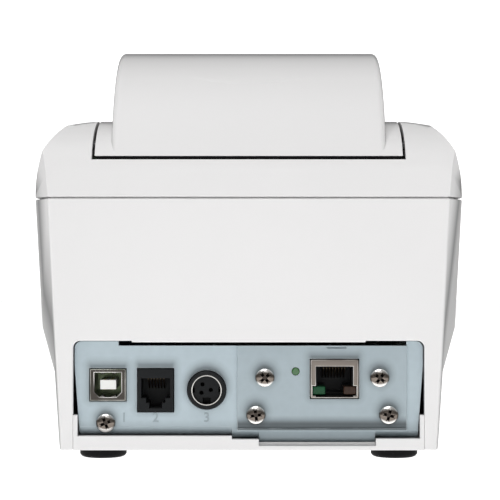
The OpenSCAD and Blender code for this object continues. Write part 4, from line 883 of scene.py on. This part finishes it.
class PRINTER_OT_case_shells(bpy.types.Operator):
    """Rounds and finishes the case's shells, base and covers"""
    bl_idname = "printer.case_shells"
    bl_label = "Case shells"

    def execute(self, context):
        width = look("case").rounding
        # Under half of the seam lip's width, so that some of its flat top stays between the two roundings
        rounded("lower_case", "case_lower", "shell", "frame", width * 0.9, 3)
        self.upper_case(width * 0.5)
        rounded("front_cover", "case_front_cover", "shell", "frame", width * 0.8, 2)
        rounded("paper_cover", "lid_shell", "cover", "cover", width * 0.5, 2)
        rounded("base_tray", "case_base", "shell", "frame", width * 0.6, 2)
        self.gap_darkeners()
        return {"FINISHED"}

    def upper_case(self, width):
        """The upper case; its lip under the lid's rear edge is pressed down, so that the gap shows dark."""
        shell = merged_copy("upper_case")
        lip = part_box("paper_cover")[0][2] - LIP_DEPTH
        for vert in shell.verts:
            if abs(vert.co.z - lip) < 0.05 * MM and vert.co.y > 94.5 * MM:
                vert.co.z -= 0.25 * MM
                vert.co.y += 0.13 * MM if vert.co.y > 95.0 * MM else 0.0
        round_edges(shell, width)
        finish_mesh(shell, "case_upper", "shell", "frame", ["upper_case"])

    def gap_darkeners(self):
        """Black strips that paint shade into the gaps: one at the lid's rear edge, and one in each slit
        beside the front cover, so that these gaps show dark.
        """
        low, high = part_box("paper_cover")
        strip = bmesh.new()
        solid_block(strip, (low[0] + 0.5 * MM, high[1] - 2.3 * MM, low[2] - 1.1 * MM),
                    (high[0] - 0.5 * MM, high[1] - 1.1 * MM, low[2] + 0.6 * MM))
        finish_mesh(strip, "lid_seal", "rubber", "cover")
        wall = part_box("front_cover")[1][0]
        slit_fill = bmesh.new()
        for side in (-1, 1):
            near, far = sorted((side * (wall - 0.2 * MM), side * (wall + 1.0 * MM)))
            solid_block(slit_fill, (near, -58.0 * MM, 103.0 * MM), (far, -50.0 * MM, 112.0 * MM))
        finish_mesh(slit_fill, "slit_foam", "rubber", "frame")


class PRINTER_OT_feet(bpy.types.Operator):
    """Makes the four rubber feet with their ribbed soles"""
    bl_idname = "printer.feet"
    bl_label = "Feet"

    def execute(self, context):
        low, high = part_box("feet")
        radius = 8.0 * MM
        top = high[2] - 1.0 * MM
        profile = [(0.0, 0.6 * MM), (2.0 * MM, 0.6 * MM), (2.4 * MM, 0.1 * MM), (3.6 * MM, 0.1 * MM),
                   (4.0 * MM, 0.5 * MM), (4.4 * MM, 0.1 * MM), (5.6 * MM, 0.1 * MM), (6.0 * MM, 0.0),
                   (radius - 1.2 * MM, 0.0), (radius - 0.6 * MM, 0.25 * MM),
                   (radius - 0.15 * MM, 0.75 * MM), (radius, 1.0 * MM), (radius, top - 0.1 * MM),
                   (radius - 0.1 * MM, top),
                   (6.0 * MM, top), (6.0 * MM, high[2]), (0.0, high[2])]
        shape = prototype(lathe(profile, 48, axis="Z"), "foot_shape")
        seats = [((x, y, 0.0), (0.0, 0.0, 0.0)) for x in (low[0] + radius, high[0] - radius)
                 for y in (low[1] + radius, high[1] - radius)]
        repeated("seated_copies", "foot_set", seat_points("foot_seats", seats), shape, "rubber",
                 "rubber_black", ["feet"])
        return {"FINISHED"}


# Rear panel

def screw_shape(name, radius, thread, depth):
    """A pan head on the Y axis with a cross recess; its seat is at zero."""
    edge = 0.12 * radius
    crown = 0.60 * radius
    profile = [(0.0, -depth), (thread, -depth), (thread, 0.0), (radius - edge, 0.0), (radius, edge * 0.8)]
    for i in range(12):
        angle = math.radians(8 + i * 7)
        profile.append((radius * math.cos(angle) ** 0.72, edge + (crown - edge) * math.sin(angle) ** 0.95))
    profile.append((0.0, crown))
    shape = prototype(lathe(profile, 40), name)
    cut = bmesh.new()
    reach, half, low = 0.58 * radius, 0.15 * radius, 0.08 * radius
    for turn in (0.0, 90.0):
        blade = bmesh.new()
        prism(blade, [(low, -0.35 * reach), (low, 0.35 * reach), (crown * 1.2, reach),
                      (crown * 1.2, -reach)], -half, half, 0)
        turn_about(blade, "Y", turn)
        part = bpy.data.meshes.new("blade")
        blade.to_mesh(part)
        blade.free()
        cut.from_mesh(part)
        bpy.data.meshes.remove(part)
    tool = prototype(cut, name + "_recess")
    carve = shape.modifiers.new("recess", "BOOLEAN")
    carve.operation = "DIFFERENCE"
    carve.solver = "EXACT"
    carve.use_self = True
    carve.object = tool
    bake(shape)
    discard(tool)
    bm = bmesh.new()
    bm.from_mesh(shape.data)
    # The cross recess's faces carry recess, which the nickel paints dark as shade.
    layer = bm.loops.layers.float.new("recess")
    for face in bm.faces:
        at = face.calc_center_median()
        near, wide = sorted((abs(at.x), abs(at.z)))
        if near <= half * 1.01 and wide <= reach * 1.01 and at.y > low * 0.9:
            for loop in face.loops:
                loop[layer] = 1.0
    crease(bm, 28.0)
    bm.to_mesh(shape.data)
    bm.free()
    return shape


class PRINTER_OT_rear_plates(bpy.types.Operator):
    """Finishes the rear plate and the interface card's plate"""
    bl_idname = "printer.rear_plates"
    bl_label = "Rear plates"

    def execute(self, context):
        edge = look("panel").edge
        rounded("rear_plate", "panel_plate", "plate", "frame", edge, 2, limit=40.0)
        rounded("card_plate", "card_front", "card", "frame", edge, 2, limit=40.0)
        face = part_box("rear_plate")[1][1]
        marks = bmesh.new()
        for number, x in (("1", 41.8), ("2", 31.2), ("3", 14.1)):
            self.numeral(marks, number, x * MM, 13.2 * MM, face)
        finish_mesh(marks, "panel_numerals", "pressed", "frame", limit=20.0)
        return {"FINISHED"}

    def numeral(self, marks, number, x, z, face):
        """A low raised numeral on the plate, read from the rear."""
        text = bpy.data.curves.new("numeral", "FONT")
        text.body = number
        text.size = 4.4 * MM
        text.extrude = 0.08 * MM
        text.bevel_depth = 0.06 * MM
        text.resolution_u = 6
        text.align_x = "CENTER"
        holder = bpy.data.objects.new("numeral", text)
        bpy.context.scene.collection.objects.link(holder)
        bpy.context.view_layer.update()
        shape = bpy.data.meshes.new_from_object(holder.evaluated_get(bpy.context.evaluated_depsgraph_get()))
        shape.transform(Matrix.Translation((x, face, z)) @ Matrix.Rotation(math.pi, 4, "Z")
                        @ Matrix.Rotation(math.radians(90.0), 4, "X"))
        marks.from_mesh(shape)
        bpy.data.objects.remove(holder, do_unlink=True)
        bpy.data.curves.remove(text)
        bpy.data.meshes.remove(shape)


class PRINTER_OT_screws(bpy.types.Operator):
    """Sets the panel screws and the case screws"""
    bl_idname = "printer.screws"
    bl_label = "Screws"

    def execute(self, context):
        radius = look("panel").screw_width / 2
        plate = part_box("rear_plate")[1][1]
        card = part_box("card_plate")[0][1] + 1.0 * MM
        seats = [((x * MM, card if on_card else plate, z * MM), (0.0, math.radians(turn), 0.0))
                 for x, z, turn, on_card in PANEL_SCREWS]
        shape = screw_shape("panel_screw", radius, 1.5 * MM, 6.0 * MM)
        repeated("seated_copies", "panel_screw_set", seat_points("screw_seats", seats), shape, "nickel",
                 "screw_nickel", ["panel_screws"])

        low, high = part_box("case_screws")
        head = 3.0 * MM
        base = low[2] + 1.4 * MM
        shape = screw_shape("case_screw", head, 1.25 * MM, high[2] - base)
        bm = bmesh.new()
        bm.from_mesh(shape.data)
        bmesh.ops.scale(bm, verts=bm.verts[:], vec=(1.0, 0.7, 1.0))
        turn_about(bm, "X", -90.0)
        bm.to_mesh(shape.data)
        bm.free()
        seats = [((x, y, base), (0.0, 0.0, math.radians(turn))) for x, y, turn in (
            (low[0] + head, low[1] + head, 10.0), (low[0] + head, high[1] - head, 35.0),
            (high[0] - head, low[1] + head, 62.0), (high[0] - head, high[1] - head, 80.0))]
        repeated("seated_copies", "case_screw_set", seat_points("case_seats", seats), shape, "nickel",
                 "screw_nickel", ["case_screws"])
        return {"FINISHED"}


class PRINTER_OT_usb_socket(bpy.types.Operator):
    """Finishes the square USB socket"""
    bl_idname = "printer.usb_socket"
    bl_label = "USB socket"

    def execute(self, context):
        hollow_shell("usb_shell", "usb_can", "dull_tin", 0.25 * MM, 3, 0.5 * MM, 1.2 * MM)
        rounded("usb_tongue", "usb_insert", "tongue", "frame", 0.2 * MM, 2)
        # Two contacts lie along the tongue's top and two under it
        low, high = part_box("usb_tongue")
        strip = bmesh.new()
        for level in (low[2] - 0.12 * MM, high[2] - 0.08 * MM):
            solid_block(strip, (0.0, low[1] + 4.0 * MM, level),
                        (1.0 * MM, high[1] - 0.7 * MM, level + 0.2 * MM))
        chamfer(strip, 0.05 * MM)
        shape = prototype(strip, "usb_strip")
        centre = (low[0] + high[0]) / 2
        row("usb_contacts", shape, "gold", "contact_gold", 2, centre - 1.75 * MM, 2.5 * MM)
        # Spring fingers pressed into the shell's top and bottom
        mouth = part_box("usb_shell")[1][1]
        finger = bmesh.new()
        inner = 4.1 * MM
        mid = middle("usb_tongue").z
        for side in (-1, 1):
            prism(finger, [(mouth - 6.0 * MM, mid + side * inner),
                           (mouth - 2.4 * MM, mid + side * (inner - 0.6 * MM)),
                           (mouth - 1.2 * MM, mid + side * (inner - 0.15 * MM)),
                           (mouth - 1.2 * MM, mid + side * inner)], 0.0, 1.4 * MM, 0)
        shape = prototype(finger, "usb_finger")
        row("usb_springs", shape, "chrome", "shell_tin", 2, centre - 2.6 * MM, 3.8 * MM)
        return {"FINISHED"}


class PRINTER_OT_drawer_socket(bpy.types.Operator):
    """Finishes the drawer socket and its six contacts"""
    bl_idname = "printer.drawer_socket"
    bl_label = "Drawer socket"

    def execute(self, context):
        rounded("drawer_socket", "drawer_jack", "socket", "frame", 0.25 * MM, 2)
        centre = middle("drawer_socket").x
        low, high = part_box("drawer_socket")
        roof = high[1] - 3.0 * MM
        top = 27.8 * MM
        wire = bmesh.new()
        prism(wire, [(low[1] + 5.6 * MM, top - 4.2 * MM), (roof, top - 0.5 * MM),
                     (roof + 0.6 * MM, top - 0.5 * MM), (roof + 0.6 * MM, top), (roof - 0.4 * MM, top),
                     (low[1] + 5.6 * MM, top - 3.6 * MM)], 0.0, 0.45 * MM, 0)
        shape = prototype(wire, "drawer_wire")
        row("drawer_contacts", shape, "shaded_contact", "contact_gold", 6, centre - 2.775 * MM, 1.02 * MM)
        return {"FINISHED"}


class PRINTER_OT_power_socket(bpy.types.Operator):
    """Finishes the round power socket"""
    bl_idname = "printer.power_socket"
    bl_label = "Power socket"

    def execute(self, context):
        rounded("power_socket", "power_body", "socket", "frame", 0.35 * MM, 3)
        rounded("power_ring", "power_rim", "chrome", "frame", 0.15 * MM, 2)
        rounded("power_insert", "power_core", "socket", "frame", 0.12 * MM, 2)
        return {"FINISHED"}


class PRINTER_OT_network_socket(bpy.types.Operator):
    """Finishes the network socket, its contacts and its lamps"""
    bl_idname = "printer.network_socket"
    bl_label = "Network socket"

    def execute(self, context):
        hollow_shell("network_shell", "network_can", "tin", 0.25 * MM, 2, 0.5 * MM, 1.5 * MM)
        rounded("network_insert", "network_core", "socket", "frame", 0.1 * MM, 2)
        self.lamps()
        self.contacts()
        rounded("status_lamp", "status_light", "lamp", "frame", 0.3 * MM, 3)
        return {"FINISHED"}

    def lamps(self):
        """Two light pipes with domed fronts; the left one is green and the right one amber."""
        bm = merged_copy("network_lamps")
        round_edges(bm, 0.3 * MM, 3, keep=lambda edge: all(v.co.y > 0.09 for v in edge.verts))
        centre = middle("network_lamps").x
        for face in bm.faces:
            face.material_index = 0 if face.calc_center_median().x > centre else 1
        lights = finish_mesh(bm, "network_lights", None, "frame", ["network_lamps"])
        for finish in ("jade", "amber"):
            lights.data.materials.append(material(finish))

    def contacts(self):
        """The sprung wires of the socket, each a bent strip with rounded edges."""
        low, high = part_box("network_contacts")
        count = look("panel").contacts
        wide = 0.4 * MM
        pitch = (high[0] - low[0] - wide) / (count - 1)
        wire = bmesh.new()
        prism(wire, [(low[1], high[2] - 0.5 * MM), (high[1] - 0.5 * MM, high[2] - 0.5 * MM),
                     (high[1] - 0.5 * MM, high[2]), (high[1], high[2]), (high[1], high[2] - 0.8 * MM),
                     (low[1] + 1.0 * MM, low[2]), (low[1], low[2])], 0.0, wide, 0)
        chamfer(wire, 0.06 * MM)
        shape = prototype(wire, "socket_wire")
        row("network_wires", shape, "shaded_contact", "contact_gold", count, low[0], pitch, ["network_contacts"])


# Inside

class PRINTER_OT_boards(bpy.types.Operator):
    """Finishes the circuit boards and what is on them"""
    bl_idname = "printer.boards"
    bl_label = "Boards"

    def execute(self, context):
        eased("board", 0.12, "main_board", "interface_card", "panel_board")
        eased("chip", 0.2, "board_chips", "card_header", "feed_switch")
        eased("can", 0.6, "board_capacitors", segments=3)
        eased("tongue", 0.15, "board_connector")
        return {"FINISHED"}


class PRINTER_OT_roll_bay(bpy.types.Operator):
    """Finishes the roll hopper, the guide and the sensors"""
    bl_idname = "printer.roll_bay"
    bl_label = "Roll bay"

    def execute(self, context):
        rounded("paper_hopper", "roll_hopper", "inside", "frame", 0.5 * MM, 2)
        rounded("paper_guide", "guide_ramp", "inside", "frame", 0.4 * MM, 2)
        rounded("cover_frame", "lid_frame", "inside", "cover", 0.3 * MM, 2)
        eased("chip", 0.3, "paper_sensor", "roll_sensor")
        return {"FINISHED"}


class PRINTER_OT_mechanism(bpy.types.Operator):
    """Finishes the print mechanism, the gears and the cutter"""
    bl_idname = "printer.mechanism"
    bl_label = "Mechanism"

    def execute(self, context):
        eased("steel", 0.2, "mech_frame", "cutter_frame", "platen_shaft", "latch_hooks")
        eased("steel", 0.3, "print_head")
        eased("steel", 0.06, "cutter_shaft")
        paint("steel", "head_springs")
        eased("dark_steel", 0.3, "hinge_pins")
        eased("motor", 0.5, "feed_motor", "cutter_motor", segments=3)
        eased("film", 0.04, "head_cable")
        eased("glaze", 0.1, "head_strip")
        eased("blade", 0.06, "moving_blade", "fixed_blade")
        eased("gear", 0.06, "platen_gear", "idler_gear")
        eased("gear", 0.2, "platen_bushes")
        eased("brass", 0.05, "motor_pinion", "cutter_pinion")
        eased("platen", 0.4, "platen_rubber", segments=3)
        return {"FINISHED"}


class PRINTER_OT_tear_teeth(bpy.types.Operator):
    """Cuts the row of teeth along the tear bar"""
    bl_idname = "printer.tear_teeth"
    bl_label = "Tear bar"

    def execute(self, context):
        low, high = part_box("tear_bar")
        pitch = look("works").tooth_pitch
        count = int((high[0] - low[0]) / pitch)
        mid = (low[1] + high[1]) / 2
        bar = bmesh.new()
        solid_block(bar, low, (high[0], high[1], high[2] - 0.8 * MM))
        chamfer(bar, 0.12 * MM, 2)
        base = bpy.data.meshes.new("tear_base")
        bar.to_mesh(base)
        bar.free()
        tooth = bmesh.new()
        foot = high[2] - 0.85 * MM
        prism(tooth, [(0.0, foot), (pitch, foot), (pitch / 2, high[2])],
              low[1] + 0.1 * MM, mid + 0.2 * MM, 1)
        shape = prototype(tooth, "tear_tooth")
        repeated("row_copies", "tear_strip", base, shape, "blade", "steel", ["tear_bar"],
                 Count=count, Start=(low[0], 0.0, 0.0), Step=(pitch, 0.0, 0.0))
        return {"FINISHED"}


# Controls

class PRINTER_OT_controls(bpy.types.Operator):
    """Finishes the keys, the lamps' windows and the power switch"""
    bl_idname = "printer.controls"
    bl_label = "Controls"

    def execute(self, context):
        rounded("feed_button", "feed_key_cap", "key", "feed_key", 0.6 * MM, 3)
        rounded("open_button", "release_key_cap", "key", "release_key", 0.6 * MM, 3)
        rounded("power_rocker", "rocker_cap", "socket", "rocker", 0.3 * MM, 2, limit=50.0)
        rounded("switch_housing", "rocker_bezel", "socket", "frame", 0.3 * MM, 2)
        eased("lens", 0.12, "lamp_windows")
        return {"FINISHED"}


# Stage

class PRINTER_OT_stage(bpy.types.Operator):
    """Builds the pale floor with its backdrop, the lights and the camera"""
    bl_idname = "printer.stage"
    bl_label = "Stage"

    def execute(self, context):
        self.floor()
        self.room(context)
        self.lights(context)
        self.camera(context)
        return {"FINISHED"}

    def floor(self):
        """A round table that sweeps up into a wall all the way round."""
        flat, bend, top = 1.7, 0.9, 2.6
        sweep = bmesh.new()
        profile = [(0.0, 0.0), (flat, 0.0)]
        profile += [(flat + bend * math.sin(math.radians(a)), bend - bend * math.cos(math.radians(a)))
                    for a in range(10, 91, 10)]
        profile.append((flat + bend, top))
        count = 64
        rings = []
        for radius, height in profile:
            if radius == 0.0:
                rings.append([sweep.verts.new((0.0, 0.0, height))])
            else:
                rings.append([sweep.verts.new((radius * math.cos(2 * math.pi * i / count),
                                               radius * math.sin(2 * math.pi * i / count), height))
                              for i in range(count)])
        for lower, upper in zip(rings, rings[1:]):
            for i in range(count):
                j = (i + 1) % count
                if len(lower) == 1:
                    sweep.faces.new((lower[0], upper[i], upper[j]))
                else:
                    sweep.faces.new((lower[i], lower[j], upper[j], upper[i]))
        for face in sweep.faces:
            face.smooth = True
        mesh = bpy.data.meshes.new("floor_sweep")
        sweep.to_mesh(mesh)
        sweep.free()
        floor = bpy.data.objects.new("floor_sweep", mesh)
        bpy.context.scene.collection.objects.link(floor)
        mesh.materials.append(self.paper())

    def paper(self):
        """Pale card that glows a little, so that the stage stays white."""
        stage = look("stage")
        paper, tree, shader, place = new_material(
            "stage_paper", Roughness=0.85, Emission_Strength=stage.glow)
        fibre = math_node(tree, "MULTIPLY_ADD", noise(tree, place, 35.0, 4.0), 0.02, 0.99)
        tree.links.new(scaled(tree, tuple(stage.floor), fibre), shader.inputs["Base Color"])
        # The walls glow most ahead of and behind the machine, and least at its sides
        x, y, _ = axes(tree, place)
        across = product(tree, x, x)
        along = product(tree, y, y)
        reach = math_node(tree, "MAXIMUM", math_node(tree, "ADD", across, along), 0.01)
        ahead = math_node(tree, "MULTIPLY_ADD", math_node(tree, "DIVIDE", along, reach), 0.82, 0.18)
        ends = math_node(tree, "MINIMUM", math_node(tree, "MULTIPLY_ADD", y, -0.30, ahead), 1.3)
        wall = steps(tree, math_node(tree, "DIVIDE", reach, 4.0), [(0.15, 0.0), (0.9, 1.0)])
        # The table glows brightest behind the machine, under the panel
        offset = vector_node(tree, "DISTANCE", place, (0.0, 0.40, 0.0), "Value")
        table = steps(tree, offset, [(0.12, 1.0), (0.42, 0.0)])
        bright = math_node(tree, "MULTIPLY_ADD", table, 1.02, 1.0)
        tree.links.new(mix_colour(tree, wall, bright, ends), shader.inputs["Emission Color"])
        return paper

    def room(self, context):
        world = bpy.data.worlds.new("room")
        context.scene.world = world
        world.use_nodes = True
        back = world.node_tree.nodes["Background"]
        back.inputs[0].default_value = (1.0, 1.0, 1.0, 1.0)
        back.inputs[1].default_value = look("stage").sky

    def lights(self, context):
        """Three softboxes aimed at the machine's middle; places in metres and powers in watts."""
        for name, place, size, power in (
                ("top_softbox", (0.2, 0.45, 1.5), 1.1, 12.0),
                ("rear_softbox", (-0.2, 1.6, 1.15), 0.8, 1.1),
                ("front_softbox", (0.8, -1.4, 1.0), 1.0, 1.2)):
            light = bpy.data.lights.new(name, "AREA")
            light.size = size
            light.energy = power
            holder = bpy.data.objects.new(name, light)
            holder.location = place
            aim = Vector((0.0, 0.0, 0.08)) - Vector(place)
            holder.rotation_euler = aim.to_track_quat("-Z", "Y").to_euler()
            context.scene.collection.objects.link(holder)

    def camera(self, context):
        """Level camera behind the machine, half-way up its height."""
        eye = bpy.data.cameras.new("camera")
        eye.lens = look("stage").lens
        eye.sensor_width = 36.0
        eye.clip_start = 0.01
        camera = bpy.data.objects.new("camera", eye)
        camera.location = (-0.00043, 0.6475, 0.0708)
        camera.rotation_euler = (math.radians(90.0), 0.0, math.radians(180.0))
        context.scene.collection.objects.link(camera)
        context.scene.camera = camera
        context.scene.view_settings.view_transform = "Standard"


class PRINTER_PT_parts(bpy.types.Panel):
    """Shows the printer's looks and a button for each step"""
    bl_label = "Printer"
    bl_idname = "PRINTER_PT_parts"
    bl_space_type = "VIEW_3D"
    bl_region_type = "UI"
    bl_category = "Printer"

    def draw(self, context):
        for kind in LOOKS:
            box = self.layout.box()
            group = look(kind)
            for name in group.__annotations__:
                box.prop(group, name)
        for step in OPERATORS:
            self.layout.operator(step.bl_idname)


LOOKS = {"case": CaseLook, "panel": PanelLook, "works": WorksLook, "stage": StageLook}
OPERATORS = [
    PRINTER_OT_case_shells, PRINTER_OT_feet, PRINTER_OT_rear_plates, PRINTER_OT_screws,
    PRINTER_OT_usb_socket, PRINTER_OT_drawer_socket, PRINTER_OT_power_socket, PRINTER_OT_network_socket,
    PRINTER_OT_boards, PRINTER_OT_roll_bay, PRINTER_OT_mechanism, PRINTER_OT_tear_teeth,
    PRINTER_OT_controls, PRINTER_OT_stage,
]


def register():
    for kind, group in LOOKS.items():
        bpy.utils.register_class(group)
        setattr(bpy.types.Scene, "printer_" + kind, PointerProperty(type=group))
    for item in OPERATORS + [PRINTER_PT_parts]:
        bpy.utils.register_class(item)


def unregister():
    for item in reversed(OPERATORS + [PRINTER_PT_parts]):
        bpy.utils.unregister_class(item)
    for kind, group in LOOKS.items():
        delattr(bpy.types.Scene, "printer_" + kind)
        bpy.utils.unregister_class(group)


def main():
    register()
    for step in OPERATORS:
        family, name = step.bl_idname.split(".")
        getattr(getattr(bpy.ops, family), name)()
    bpy.context.view_layer.update()


if __name__ == "__main__":
    main()
